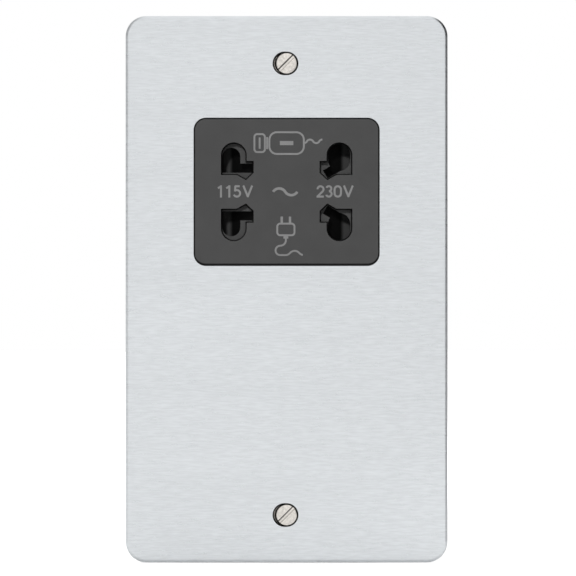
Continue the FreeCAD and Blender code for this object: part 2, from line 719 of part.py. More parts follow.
def carrier_boss_places():
    """The places of the carrier's four screws about the socket's middle, as (x, z)."""
    heights = (CARRIER_BOSS_UP, -CARRIER_BOSS_DOWN)
    return [(side * CARRIER_BOSS_X, height) for side in SIDES for height in heights]


def contact_carrier():
    """The moulded block behind the shutter, with four contact chambers and a screw flange."""
    half_w = CARRIER_W / 2
    half_h = CARRIER_H / 2
    flange_x = CARRIER_BOSS_X + CARRIER_BOSS_R
    flange_z = (-CARRIER_BOSS_DOWN - CARRIER_BOSS_R, CARRIER_BOSS_UP + CARRIER_BOSS_R)
    flange_back = CARRIER_FRONT + CARRIER_FLANGE_T
    body = block((-half_w, half_w), (CARRIER_FRONT, CARRIER_BACK), (-half_h, half_h))
    body = body.fuse(block((-flange_x, flange_x), (CARRIER_FRONT, flange_back), flange_z))
    chamber = block(
        (CHAMBER_INNER_X, CHAMBER_OUTER_X), (CARRIER_FRONT, CHAMBER_BACK), (CHAMBER_NEAR_Z, CHAMBER_FAR_Z)
    )
    tag_slot = tag(TAG_X, TAG_SLOT_GAP, CARRIER_BACK)
    for x_side in SIDES:
        for z_side in SIDES:
            body = body.cut(quarter(chamber, x_side, z_side))
        body = body.cut(quarter(tag_slot, x_side, 1))
        notch_x = (x_side * (LEAF_POST_X + LEAF_POST_W), x_side * flange_x)
        notch_z = (FIXED_LEAF_Z - LEAF_T - LEAD_R, MOVING_LEAF_Z + 2 * LEAD_R)
        body = body.cut(block(notch_x, (CARRIER_FRONT, flange_back), notch_z))
    channel_z = (-CONTACT_NEAR_Z + TAG_SLOT_GAP, -CONTACT_NEAR_Z - BRIDGE_H - TAG_SLOT_GAP)
    body = body.cut(block((-CHAMBER_INNER_X, CHAMBER_INNER_X), (CARRIER_FRONT, CHAMBER_BACK), channel_z))
    body = body.cut(quarter(common_tag(TAG_SLOT_GAP, CARRIER_BACK), -1, -1))
    for x, z in carrier_boss_places():
        body = body.cut(drum(SCREW_D / 2 + SCREW_HOLE_GAP, CARRIER_FRONT, flange_back, x, z))
    return at_socket(body.removeSplitter())


def tag(x, gap, back):
    """A solder tag that passes through the carrier's rear wall, or its slot."""
    half_w = TAG_W / 2 + gap
    half_t = TAG_T / 2 + gap
    return block((x - half_w, x + half_w), (CHAMBER_BACK, back), (TAG_Z - half_t, TAG_Z + half_t))


def common_tag(gap, back):
    """The tag of the common contact, on its bridge, or its slot."""
    z = CONTACT_NEAR_Z + BRIDGE_H / 2
    half_w = TAG_W / 2 + gap
    half_t = TAG_T / 2 + gap
    return block(
        (TAG_COMMON_X - half_w, TAG_COMMON_X + half_w), (CHAMBER_BACK, back), (z - half_t, z + half_t)
    )


def contact_clip(pin_x):
    """Two gripping leaves and a blade finger on one base, made for the upper right quarter."""
    base_front = CHAMBER_BACK - CONTACT_T
    pinch = CARRIER_FRONT + CONTACT_PINCH_BACK
    lip = CARRIER_FRONT + CONTACT_LIP_BACK
    foot = CONTACT_FOOT / 2
    base_x = (FINGER_X, pin_x + foot + CONTACT_T)
    clip = block(base_x, (base_front, CHAMBER_BACK), (CONTACT_NEAR_Z, CONTACT_FAR_Z))
    bend = [(foot, base_front), (CONTACT_GRIP / 2, pinch), (CONTACT_MOUTH / 2, lip)]
    for side in SIDES:
        inside = [(pin_x + side * reach, y) for reach, y in bend]
        outside = [(pin_x + side * (reach + CONTACT_T), y) for reach, y in reversed(bend)]
        clip = clip.fuse(section_along_z(inside + outside, FINGER_Z + CONTACT_T, CONTACT_FAR_Z))
    spring = [(base_front, FINGER_Z), (pinch, FINGER_SPRUNG_Z), (lip, FINGER_Z)]
    back_side = [(y, z + CONTACT_T) for y, z in reversed(spring)]
    clip = clip.fuse(section_along_x(spring + back_side, FINGER_X, FINGER_X + FINGER_W))
    return clip


def live_contact(pin_x, x_side):
    """The contact of one upper chamber with its solder tag."""
    clip = contact_clip(pin_x).fuse(tag(TAG_X, 0, CARRIER_BACK + TAG_TAIL))
    return at_socket(quarter(clip.removeSplitter(), x_side, 1))


def contact_common():
    """The contact of both lower chambers, one strip with a bridge and a solder tag."""
    base_front = CHAMBER_BACK - CONTACT_T
    bridge_z = (CONTACT_NEAR_Z, CONTACT_NEAR_Z + BRIDGE_H)
    strip = block((-FINGER_X, FINGER_X), (base_front, CHAMBER_BACK), bridge_z)
    strip = strip.fuse(quarter(contact_clip(ROUND_115_X), -1, 1))
    strip = strip.fuse(contact_clip(ROUND_230_X))
    strip = strip.fuse(quarter(common_tag(0, CARRIER_BACK + TAG_TAIL), -1, 1))
    return at_socket(quarter(strip.removeSplitter(), 1, -1))


def small_screw(x, z, seat):
    """A slotted pan screw that enters towards -Y, with its head on the seat."""
    head_back = seat + SCREW_HEAD_H
    head = drum(SCREW_HEAD_D / 2, seat, head_back, x, z)
    head = head.makeFillet(SCREW_HEAD_EDGE_R, edges_at(head, head_back))
    screw = head.fuse(drum(SCREW_D / 2, seat - SCREW_L, seat, x, z)).removeSplitter()
    return screw.cut(backward_slot(head_back, SCREW_SLOT_W, SCREW_SLOT_DEPTH, SCREW_HEAD_D, x, z))


def screw_hole(x, z, seat, top):
    """The blind hole of a small screw, open at top."""
    return drum(SCREW_D / 2 + THREAD_GAP, seat - SCREW_L - SCREW_TIP_ROOM, top, x, z)


def carrier_screws():
    """The four screws of the contact carrier."""
    seat = CARRIER_FRONT + CARRIER_FLANGE_T
    return at_socket(Part.makeCompound([small_screw(x, z, seat) for x, z in carrier_boss_places()]))


def strap_places():
    """The places of the four strap screws, as (x, z)."""
    heights = (CORE_TOP_Z - CORE_LEG_W / 2, CORE_LOW_Z + CORE_LEG_W / 2)
    return [(side * STRAP_SCREW_X, height) for side in SIDES for height in heights]


def pillar_places():
    """The places of the four cover screws, as (x, z)."""
    return [(x_side * PILLAR_X, z_side * PILLAR_Z) for x_side in SIDES for z_side in SIDES]


def inside_of_housing(front, back):
    """The clear room between the housing's side walls."""
    return block((-INSIDE_X, INSIDE_X), (front, back), (-INSIDE_Z, INSIDE_Z))


def front_housing():
    """The tray behind the plate, with its ears, pillars, core seats, bosses and spring posts."""
    body = rounded_block(HOUSING_W, HOUSING_H, PLATE_BACK, SPLIT, HOUSING_CORNER_R)
    body = body.makeChamfer(HOUSING_SEAM, edges_at(body, SPLIT))
    body = body.cut(inside_of_housing(GUIDE_BACK, SPLIT))
    for x, z in stud_places():
        body = body.fuse(ear(x, z, PLATE_BACK, GUIDE_BACK, 0))
    core_seats = []
    for x, z in strap_places():
        inner = math.copysign(CORE_W / 2 - SEAT_W, x)
        outer = math.copysign(INSIDE_X, x)
        seat_z = (z - CORE_LEG_W / 2, z + CORE_LEG_W / 2)
        core_seats.append(block((inner, outer), (GUIDE_BACK, CORE_FRONT), seat_z))
    pillars = [drum(PILLAR_R, GUIDE_BACK, SPLIT, x, z) for x, z in pillar_places()]
    bosses = [
        drum(CARRIER_BOSS_R, GUIDE_BACK, CARRIER_FRONT, x, z + SOCKET_Z) for x, z in carrier_boss_places()
    ]
    posts = []
    for side in SIDES:
        post_x = (side * SPRING_POST_X, side * (SPRING_POST_X + SPRING_POST_T))
        half_z = SLIDE_IN_Z - SPRING_POST_GAP
        posts.append(block(post_x, (GUIDE_BACK, SLIDE_BACK), (SOCKET_Z - half_z, SOCKET_Z + half_z)))
    body = body.fuse(core_seats + pillars + bosses + posts)
    window_r = INSERT_CORNER_R + HOUSING_FIT_GAP
    grow = 2 * HOUSING_FIT_GAP
    body = body.cut(rounded_block(
        INSERT_W + grow, INSERT_H + grow, PLATE_BACK, GUIDE_BACK, window_r, SOCKET_Z
    ))
    flange_w = INSERT_W + 2 * FLANGE_LIP + grow
    flange_h = INSERT_H + 2 * FLANGE_LIP + grow
    body = body.cut(rounded_block(flange_w, flange_h, PLATE_BACK, FLANGE_BACK, window_r, SOCKET_Z))
    for x, z in stud_places():
        body = body.cut(drum(STUD_D / 2 + STUD_HOLE_GAP, PLATE_BACK, GUIDE_BACK, x, z))
    for x, z in carrier_boss_places():
        seat = CARRIER_FRONT + CARRIER_FLANGE_T
        body = body.cut(screw_hole(x, z + SOCKET_Z, seat, CARRIER_FRONT))
    for x, z in strap_places():
        body = body.cut(screw_hole(x, z, CORE_FRONT + STRAP_T, CORE_FRONT))
    for x, z in pillar_places():
        body = body.cut(screw_hole(x, z, SPLIT + PILLAR_SEAT, SPLIT))
    return body.removeSplitter()


def terminal_places():
    """The middles of the three terminals along X: live, neutral and earth."""
    return [step * TERMINAL_PITCH for step in (-1, 0, 1)]


def terminal_tail(x, gap, front, back):
    """The tail that takes a terminal's current through the cover, or its slot."""
    z = TERMINAL_FLOOR_Z + TERMINAL_H / 2
    half_w = TAIL_W / 2 + gap
    half_t = TAIL_T / 2 + gap
    return block((x - half_w, x + half_w), (front, back), (z - half_t, z + half_t))


def terminal_bays():
    """The floor and ribs that part the terminals on the step of the cover."""
    half_pitch = TERMINAL_PITCH / 2
    half_rib = BAY_RIB_T / 2
    places = terminal_places()
    rib_places = [places[0] - half_pitch] + [x + half_pitch for x in places]
    rib_z = (TERMINAL_FLOOR_Z - BAY_RIB_T, TERMINAL_FLOOR_Z + TERMINAL_H)
    rib_y = (SHALLOW_BACK, TERMINAL_BACK + BAY_RIB_RISE)
    floor_x = (rib_places[0] - half_rib, rib_places[-1] + half_rib)
    floor = block(floor_x, rib_y, (TERMINAL_FLOOR_Z - BAY_RIB_T, TERMINAL_FLOOR_Z - BAY_GAP))
    return floor.fuse([block((x - half_rib, x + half_rib), rib_y, rib_z) for x in rib_places])


def cover_shell():
    """The stepped shell of the rear cover, deep below and shallow above."""
    deep_h = STEP_Z + HOUSING_H / 2
    deep_z = (STEP_Z - HOUSING_H / 2) / 2
    shallow = rounded_block(HOUSING_W, HOUSING_H, SPLIT, SHALLOW_BACK, HOUSING_CORNER_R)
    shallow = shallow.makeFillet(COVER_EDGE_R, edges_at(shallow, SHALLOW_BACK))
    deep = rounded_block(HOUSING_W, deep_h, SPLIT, DEEP_BACK, HOUSING_CORNER_R, deep_z)
    deep = deep.makeFillet(COVER_EDGE_R, edges_at(deep, DEEP_BACK))
    shell = shallow.fuse(deep).cut(inside_of_housing(SPLIT, SHALLOW_INSIDE))
    deep_room = block((-INSIDE_X, INSIDE_X), (SPLIT, DEEP_INSIDE), (-INSIDE_Z, STEP_Z - COVER_T))
    return shell.cut(deep_room)


def rear_cover():
    """The rear cover with its vents, screw wells and terminal bays."""
    body = cover_shell().fuse(terminal_bays())
    for x, z in pillar_places():
        back = SHALLOW_INSIDE if z > 0 else DEEP_INSIDE
        well = drum(PILLAR_WELL_R + PILLAR_WELL_WALL, SPLIT, back, x, z)
        body = body.fuse(well.common(inside_of_housing(SPLIT, back)))
    for x, z in pillar_places():
        back = SHALLOW_BACK if z > 0 else DEEP_BACK
        body = body.cut(drum(PILLAR_WELL_R, SPLIT + PILLAR_SEAT, back, x, z))
        body = body.cut(drum(SCREW_D / 2 + SCREW_HOLE_GAP, SPLIT, SPLIT + PILLAR_SEAT, x, z))
    for step in range(VENT_COUNT):
        x = (step - (VENT_COUNT - 1) / 2) * VENT_PITCH
        middle_z = (CORE_TOP_Z + CORE_LOW_Z) / 2
        vent_z = (middle_z - VENT_L / 2, middle_z + VENT_L / 2)
        vent = block((x - VENT_W / 2, x + VENT_W / 2), (DEEP_INSIDE, DEEP_BACK), vent_z)
        body = body.cut(vent.makeFillet(VENT_END_R, edges_along(vent, ALONG_Y)))
    for x in terminal_places()[:2]:
        body = body.cut(terminal_tail(x, BAY_GAP, SHALLOW_INSIDE, SHALLOW_BACK))
    return body.cut(earth_foot(BAY_GAP)).removeSplitter()


def cover_screws():
    """The four screws of the rear cover, deep in its wells."""
    seat = SPLIT + PILLAR_SEAT
    return Part.makeCompound([small_screw(x, z, seat) for x, z in pillar_places()])


def core_e_stack():
    """The E laminations: the upper yoke and three legs."""
    y_range = (CORE_FRONT, CORE_BACK)
    half_w = CORE_W / 2
    body = block((-half_w, half_w), y_range, (WINDOW_LOW_Z, CORE_TOP_Z))
    for side in SIDES:
        window_x = (side * CORE_LEG_W, side * 2 * CORE_LEG_W)
        body = body.cut(block(window_x, y_range, (WINDOW_LOW_Z, WINDOW_TOP_Z)))
    return body


def core_i_stack():
    """The I laminations: the lower yoke."""
    half_w = CORE_W / 2
    return block((-half_w, half_w), (CORE_FRONT, CORE_BACK), (CORE_LOW_Z, WINDOW_LOW_Z))


def bobbin_levels():
    """The lower faces of the bobbin's three flanges."""
    low = WINDOW_LOW_Z + BOBBIN_GAP
    high = WINDOW_TOP_Z - BOBBIN_GAP - BOBBIN_T
    return [low, (low + high) / 2, high]


def winding_middle(step):
    """The height of the middle of the lower winding, step 0, or of the upper one, step 1."""
    levels = bobbin_levels()
    return (levels[step] + BOBBIN_T + levels[step + 1]) / 2


def bobbin():
    """The split bobbin on the middle leg, with three flanges."""
    leg_x = CORE_LEG_W + BOBBIN_GAP
    leg_y = (CORE_FRONT - BOBBIN_GAP, CORE_BACK + BOBBIN_GAP)
    tube_x = leg_x + BOBBIN_T
    tube_y = (leg_y[0] - BOBBIN_T, leg_y[1] + BOBBIN_T)
    low, _, high = bobbin_levels()
    body = block((-tube_x, tube_x), tube_y, (low, high + BOBBIN_T))
    for level in bobbin_levels():
        flange_z = (level, level + BOBBIN_T)
        body = body.fuse(block((-BOBBIN_OUT_X, BOBBIN_OUT_X), (COIL_FRONT, COIL_BACK), flange_z))
    return body.cut(block((-leg_x, leg_x), leg_y, (low, high + BOBBIN_T))).removeSplitter()


def winding(level, next_level):
    """One winding, a rounded ring between two flanges of the bobbin."""
    low = level + BOBBIN_T
    out_x = BOBBIN_OUT_X - WINDING_INSET
    out_y = (COIL_FRONT + WINDING_INSET, COIL_BACK - WINDING_INSET)
    ring = block((-out_x, out_x), out_y, (low, next_level))
    ring = ring.makeFillet(WINDING_CORNER_R, edges_along(ring, ALONG_Z))
    core_x = CORE_LEG_W + BOBBIN_GAP + BOBBIN_T
    core_y = (CORE_FRONT - BOBBIN_GAP - BOBBIN_T, CORE_BACK + BOBBIN_GAP + BOBBIN_T)
    return ring.cut(block((-core_x, core_x), core_y, (low, next_level)))


def core_strap(middle_z):
    """A steel strap round the back of the core, with a foot at each end."""
    strap_z = (middle_z - STRAP_W / 2, middle_z + STRAP_W / 2)
    half_w = CORE_W / 2
    body = block((-half_w - STRAP_T, half_w + STRAP_T), (CORE_BACK, CORE_BACK + STRAP_T), strap_z)
    for side in SIDES:
        side_x = (side * half_w, side * (half_w + STRAP_T))
        foot_x = (side * half_w, side * (half_w + STRAP_T + STRAP_FOOT))
        body = body.fuse(block(side_x, (CORE_FRONT, CORE_BACK), strap_z))
        body = body.fuse(block(foot_x, (CORE_FRONT, CORE_FRONT + STRAP_T), strap_z))
        hole_r = SCREW_D / 2 + SCREW_HOLE_GAP
        body = body.cut(drum(hole_r, CORE_FRONT, CORE_FRONT + STRAP_T, side * STRAP_SCREW_X, middle_z))
    return body.removeSplitter()


def strap_screws():
    """The four screws of the two straps."""
    seat = CORE_FRONT + STRAP_T
    return Part.makeCompound([small_screw(x, z, seat) for x, z in strap_places()])


def thermal_cutout():
    """The cut-out that sits on the upper yoke of the core."""
    half_w = CUTOUT_W / 2
    half_d = CUTOUT_DEPTH / 2
    can = block(
        (-half_w, half_w), (CUTOUT_Y - half_d, CUTOUT_Y + half_d), (CORE_TOP_Z, CORE_TOP_Z + CUTOUT_H)
    )
    return can.makeFillet(CUTOUT_EDGE_R, edges_along(can, ALONG_X))


def terminal(x, with_tail):
    """A brass terminal with its wire bore along Z and its clamp screw's thread."""
    half_w = TERMINAL_W / 2
    z_range = (TERMINAL_FLOOR_Z, TERMINAL_FLOOR_Z + TERMINAL_H)
    front = SHALLOW_BACK + TERMINAL_PAD_T
    body = block((x - half_w, x + half_w), (front, TERMINAL_BACK), z_range)
    if with_tail:
        body = body.fuse(block((x - half_w, x + half_w), (SHALLOW_BACK, front), z_range))
        body = body.fuse(terminal_tail(x, 0, SHALLOW_INSIDE - TAIL_REACH, SHALLOW_BACK))
    body = body.cut(Part.makeCylinder(TERMINAL_BORE_R, TERMINAL_H, V(x, BORE_Y, TERMINAL_FLOOR_Z)))
    middle_z = TERMINAL_FLOOR_Z + TERMINAL_H / 2
    body = body.cut(drum(CLAMP_SCREW_D / 2 + THREAD_GAP, BORE_Y, TERMINAL_BACK, x, middle_z))
    return body.removeSplitter()


def terminal_screws():
    """The three clamp screws, backed off so that the bores are free."""
    z = TERMINAL_FLOOR_Z + TERMINAL_H / 2
    tip = BORE_Y + TERMINAL_BORE_R + CLAMP_SCREW_CLEAR
    seat = TERMINAL_BACK + CLAMP_SCREW_LIFT
    head_back = seat + CLAMP_SCREW_HEAD_H
    screws = []
    for x in terminal_places():
        head = drum(CLAMP_SCREW_HEAD_D / 2, seat, head_back, x, z)
        head = head.makeFillet(CLAMP_SCREW_EDGE_R, edges_at(head, head_back))
        screw = head.fuse(drum(CLAMP_SCREW_D / 2, tip, seat, x, z)).removeSplitter()
        slot = backward_slot(
            head_back, CLAMP_SCREW_SLOT_W, CLAMP_SCREW_SLOT_DEPTH, CLAMP_SCREW_HEAD_D, x, z
        )
        screws.append(screw.cut(slot))
    return Part.makeCompound(screws)


def earth_foot(gap):
    """The foot of the earth strap under its terminal, or the slot that lets it in."""
    z = TERMINAL_FLOOR_Z + TERMINAL_H / 2
    half_w = EARTH_STRAP_W / 2 + gap
    foot_x = (TERMINAL_PITCH - TERMINAL_W / 2, EARTH_STRAP_OUT_X)
    return block(foot_x, (SHALLOW_BACK, SHALLOW_BACK + TERMINAL_PAD_T + gap), (z - half_w, z + half_w))


def earth_strap():
    """The strip from the earth terminal over the cover to the upper right stud."""
    strip_x = (EARTH_STRAP_IN_X, EARTH_STRAP_OUT_X)
    over = HOUSING_H / 2 + EARTH_STRAP_GAP
    back = SHALLOW_BACK + TERMINAL_PAD_T
    foot_z = TERMINAL_FLOOR_Z + TERMINAL_H / 2 - EARTH_STRAP_W / 2
    ring_y = (GUIDE_BACK, GUIDE_BACK + WASHER_T)
    body = drum(WASHER_D / 2, GUIDE_BACK, GUIDE_BACK + WASHER_T, STUD_X, STUD_Z)
    body = body.fuse(block(strip_x, ring_y, (over, STUD_Z)))
    body = body.fuse(block(strip_x, (GUIDE_BACK, back), (over, over + WASHER_T)))
    body = body.fuse(block(strip_x, (SHALLOW_BACK, back), (foot_z, over + WASHER_T)))
    body = body.fuse(earth_foot(0))
    body = body.cut(drum(STUD_D / 2 + STUD_HOLE_GAP, *ring_y, STUD_X, STUD_Z))
    return body.removeSplitter()


def direction(start, end):
    """The unit vector from one point to another."""
    return (end - start).normalize()


def lead(points):
    """A round lead along straight runs, with arcs as large as the runs allow."""
    path = []
    start = points[0]
    for before, corner, after in zip(points, points[1:], points[2:]):
        into = direction(before, corner)
        out = direction(corner, after)
        half_turn = into.getAngle(out) / 2
        reach = BEND_SHARE * min(corner.distanceToPoint(before), corner.distanceToPoint(after))
        radius = reach / math.tan(half_turn)
        inward = (out - into).normalize()
        first = corner - into * reach
        last = corner + out * reach
        middle = corner + inward * (radius / math.cos(half_turn) - radius)
        path.append(Part.LineSegment(start, first).toShape())
        path.append(Part.Arc(first, middle, last).toShape())
        start = last
    path.append(Part.LineSegment(start, points[-1]).toShape())
    ring = Part.makeCircle(LEAD_R, points[0], direction(points[0], points[1]))
    return Part.Wire(path).makePipeShell([Part.Wire(ring)], True, True)


def supply_leads():
    """The leads of the primary side, from the terminals through the switch and the cut-out."""
    tail_y = SHALLOW_INSIDE - TAIL_REACH / 2
    tail_z = TERMINAL_FLOOR_Z + TERMINAL_H / 2 - TAIL_T / 2
    live_x, neutral_x, _ = terminal_places()
    leaf_back = LEAF_MID + LEAF_W / 2
    leaf_x = LEAF_TAIL_X - LEAD_R
    fixed_z = SOCKET_Z + FIXED_LEAF_Z - LEAF_T / 2
    moving_z = SOCKET_Z + MOVING_LEAF_Z - LEAF_T / 2
    front_y = (GUIDE_BACK + COIL_FRONT) / 2
    back_y = (COIL_BACK + DEEP_INSIDE) / 2
    over_z = CORE_TOP_Z + LEAD_OVER_CORE
    primary_z = winding_middle(0)
    side_x = CUTOUT_W / 2 + CORE_LEG_W
    live = [
        V(live_x, tail_y, tail_z),
        V(live_x, tail_y, tail_z - LEAD_DROP),
        V(-leaf_x, tail_y, tail_z - LEAD_DROP - LEAD_SLANT),
        V(-leaf_x, tail_y, fixed_z),
        V(-leaf_x, leaf_back, fixed_z),
    ]
    switched = [
        V(leaf_x, leaf_back, moving_z),
        V(leaf_x, CUTOUT_Y, moving_z),
        V(leaf_x - LEAD_SLANT, CUTOUT_Y, CUTOUT_Z),
        V(CUTOUT_W / 2, CUTOUT_Y, CUTOUT_Z),
    ]
    primary = [
        V(-CUTOUT_W / 2, CUTOUT_Y, CUTOUT_Z),
        V(-side_x, CUTOUT_Y, CUTOUT_Z),
        V(-side_x, front_y, CUTOUT_Z),
        V(-side_x + LEAD_DROP, front_y, primary_z),
        V(-side_x + LEAD_DROP, COIL_FRONT + WINDING_INSET, primary_z),
    ]
    neutral = [
        V(neutral_x, tail_y, tail_z),
        V(neutral_x, tail_y, over_z),
        V(neutral_x, back_y, over_z),
        V(neutral_x, back_y, primary_z),
        V(neutral_x, COIL_BACK - WINDING_INSET, primary_z),
    ]
    return {
        "lead_live": lead(live),
        "lead_switched": lead(switched),
        "lead_primary": lead(primary),
        "lead_neutral": lead(neutral),
    }


def outlet_lead(tag_x, tag_z):
    """A lead from a contact's tag down to the back of the secondary winding."""
    tag_end = CARRIER_BACK + TAG_TAIL
    plane_y = SHALLOW_INSIDE - TAIL_REACH / 2
    back_y = (COIL_BACK + DEEP_INSIDE) / 2
    over_z = CORE_TOP_Z + LEAD_OVER_CORE
    secondary_z = winding_middle(1)
    return lead([
        V(tag_x, tag_end, SOCKET_Z + tag_z),
        V(tag_x, plane_y, SOCKET_Z + tag_z),
        V(tag_x, plane_y, over_z),
        V(tag_x, back_y, over_z),
        V(tag_x, back_y, secondary_z),
        V(tag_x, COIL_BACK - WINDING_INSET, secondary_z),
    ])


def pieces():
    """Every piece of the socket by its name."""
    low, middle, high = bobbin_levels()
    live_x, neutral_x, earth_x = terminal_places()
    made = {
        "face_plate": face_plate(),
        "wall_gasket": wall_gasket(),
        "fixing_screws": fixing_screws(),
        "plate_studs": plate_studs(),
        "stud_washers": stud_washers(),
        "stud_nuts": stud_nuts(),
        "socket_insert": socket_insert(),
        "pin_guide": pin_guide(),
        "shutter_slide": shutter_slide(),
        "shutter_spring_left": shutter_spring(-1),
        "shutter_spring_right": shutter_spring(1),
        "switch_moving_leaf": switch_moving_leaf(),
        "switch_fixed_leaf": switch_fixed_leaf(),
        "switch_tips": switch_tips(),
        "contact_carrier": contact_carrier(),
        "carrier_screws": carrier_screws(),
        "contact_115": live_contact(ROUND_115_X, -1),
        "contact_230": live_contact(ROUND_230_X, 1),
        "contact_common": contact_common(),
        "core_e_stack": core_e_stack(),
        "core_i_stack": core_i_stack(),
        "bobbin": bobbin(),
        "primary_winding": winding(low, middle),
        "secondary_winding": winding(middle, high),
        "core_strap_upper": core_strap(CORE_TOP_Z - CORE_LEG_W / 2),
        "core_strap_lower": core_strap(CORE_LOW_Z + CORE_LEG_W / 2),
        "strap_screws": strap_screws(),
        "thermal_cutout": thermal_cutout(),
        "front_housing": front_housing(),
        "rear_cover": rear_cover(),
        "cover_screws": cover_screws(),
        "terminal_live": terminal(live_x, True),
        "terminal_neutral": terminal(neutral_x, True),
        "terminal_earth": terminal(earth_x, False),
        "terminal_screws": terminal_screws(),
        "earth_strap": earth_strap(),
        "lead_115": outlet_lead(-TAG_X, TAG_Z),
        "lead_230": outlet_lead(TAG_X, TAG_Z),
        "lead_common": outlet_lead(-TAG_COMMON_X, -CONTACT_NEAR_Z - BRIDGE_H / 2),
    }
    made.update(supply_leads())
    return made


os.makedirs("parts", exist_ok=True)
for name, shape in pieces().items():
    shape.exportStep(f"parts/{name}.step")
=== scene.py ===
import json
import math

import bpy
from bpy.props import FloatProperty, FloatVectorProperty, IntProperty, PointerProperty
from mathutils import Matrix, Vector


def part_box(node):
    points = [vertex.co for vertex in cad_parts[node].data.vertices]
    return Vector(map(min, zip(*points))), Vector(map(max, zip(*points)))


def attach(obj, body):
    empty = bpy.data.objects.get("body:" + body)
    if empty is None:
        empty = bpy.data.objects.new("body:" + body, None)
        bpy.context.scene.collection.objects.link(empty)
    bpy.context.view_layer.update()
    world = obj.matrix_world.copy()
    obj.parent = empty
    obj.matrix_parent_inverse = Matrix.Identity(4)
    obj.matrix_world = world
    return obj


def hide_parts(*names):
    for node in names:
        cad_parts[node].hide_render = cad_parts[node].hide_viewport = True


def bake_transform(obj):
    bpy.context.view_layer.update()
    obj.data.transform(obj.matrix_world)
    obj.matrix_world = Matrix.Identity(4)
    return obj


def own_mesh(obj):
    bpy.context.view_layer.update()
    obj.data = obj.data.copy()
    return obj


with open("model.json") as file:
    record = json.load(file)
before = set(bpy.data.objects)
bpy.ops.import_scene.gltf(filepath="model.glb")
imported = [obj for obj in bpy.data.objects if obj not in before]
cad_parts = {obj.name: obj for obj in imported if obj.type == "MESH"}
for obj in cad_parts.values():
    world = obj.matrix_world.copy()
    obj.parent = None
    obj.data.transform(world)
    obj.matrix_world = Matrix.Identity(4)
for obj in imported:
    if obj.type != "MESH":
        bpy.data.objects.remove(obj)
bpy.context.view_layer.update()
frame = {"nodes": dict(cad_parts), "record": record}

bl_info = {
    "name": "Shaver Socket",
    "version": (1, 0, 0),
    "blender": (4, 5, 0),
    "location": "View3D > Sidebar > Shaver Socket",
    "description": "Dresses a flat-plate shaver socket: threads, windings, printed marks, finishes and stage",
    "category": "Object",
}

MM = 0.001
MERGE = MM / 1000
INSERT_LOW, INSERT_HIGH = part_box("socket_insert")
SCREWS_LOW, SCREWS_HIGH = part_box("fixing_screws")
CLAMPS_LOW, CLAMPS_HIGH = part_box("terminal_screws")
STUDS_LOW, STUDS_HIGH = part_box("plate_studs")
EARTH_LOW, EARTH_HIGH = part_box("terminal_earth")
PLATE_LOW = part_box("face_plate")[0]

# Sizes of the solids that their boxes don't give
FLANGE_LIP = 2.0 * MM
FACE_CORNER = 3.1 * MM
RECESS_DEPTH = 0.6 * MM
SHANK_RADIUS = 1.75 * MM
SHANK_TIP = 0.6 * MM
STUD_RADIUS = 1.5 * MM
CLAMP_RADIUS = 1.5 * MM
CLAMP_HEAD = 1.8 * MM
TERMINAL_PAD = 0.6 * MM
WINDING_CORNER = 3.0 * MM
WINDING_SIDE = 5.8 * MM
WINDING_END = 4.0 * MM

# Places on the socket
FACE_Y = INSERT_LOW.y
SOCKET_Z = (INSERT_LOW.z + INSERT_HIGH.z) / 2
FACE_HALF_W = INSERT_HIGH.x - FLANGE_LIP
FACE_HALF_H = INSERT_HIGH.z - SOCKET_Z - FLANGE_LIP
HEAD_SEAT = PLATE_LOW.y + RECESS_DEPTH
COVER_Y = EARTH_LOW.y - TERMINAL_PAD

# Screws and studs: a crown holds steps in from a head's rim and back from its face, in millimetres. The clamp
# screws' slots turn by radians, and a slot's cutter reaches past the head's rim
FIXING_CROWN = ((0.9, 0.0), (0.5, 0.015), (0.25, 0.06), (0.08, 0.16), (0.0, 0.32))
CLAMP_CROWN = ((0.9, 0.0), (0.4, 0.05), (0.12, 0.2), (0.0, 0.5))
CLAMP_BEVEL = 0.15 * MM
CLAMP_TURNS = (0.3, -0.5, 0.9)
HEAD_SIDES = 96
SLOT_REACH = 1.2
NECK_RADIUS = 1.83 * MM
NECK_LENGTH = 0.3 * MM
THREAD_LAP = 0.2 * MM
STUD_TIP = 0.35 * MM

# Windings and springs: a turn's dip, flanks and crest are shares of the wire's thickness
WINDING_TURNS = {"primary_winding": 26, "secondary_winding": 18}
TURN_DIP = 0.22
TURN_FLANK = 0.2
TURN_CREST = 0.6
WIRE_SIDES = 12

# Plain strokes of the characters, as shares of their height: a start, a heading in degrees, and then
# runs (length,) and arcs (radius, degrees)
STROKES = {
    "0": (((0.31, 0.0), 0, ((0.31, 90), (0.38,), (0.31, 90), (0.31, 90), (0.38,), (0.31, 90))),),
    "1": (((0.3, -0.09), 90, ((1.18,),)), ((0.3, 0.97), 208, ((0.34,),))),
    "2": (((0.0, 0.71), 90, ((0.29, -180), (0.29, -45), (0.74,))), ((-0.09, 0.0), 0, ((0.7,),))),
    "3": (((0.06, 0.85), 70, ((0.236, -250),)), ((0.28, 0.528), 0, ((0.264, -250),))),
    "5": (
        ((0.54, 1.0), 180, ((0.46,),)),
        ((0.13, 1.05), -95, ((0.55,),)),
        ((0.045, 0.535), 45, ((0.314, -290),)),
    ),
    "V": (((-0.02, 1.07), -67.7, ((1.2,),)), ((0.84, 1.07), 247.7, ((1.2,),))),
    "L": (((0.0, 1.0), -90, ((1.0,),)), ((-0.09, 0.0), 0, ((0.64,),))),
    "N": (((0.0, 0.0), 90, ((1.0,),)), ((0.0, 1.0), -54, ((1.236,),)), ((0.73, 0.0), 90, ((1.0,),))),
}

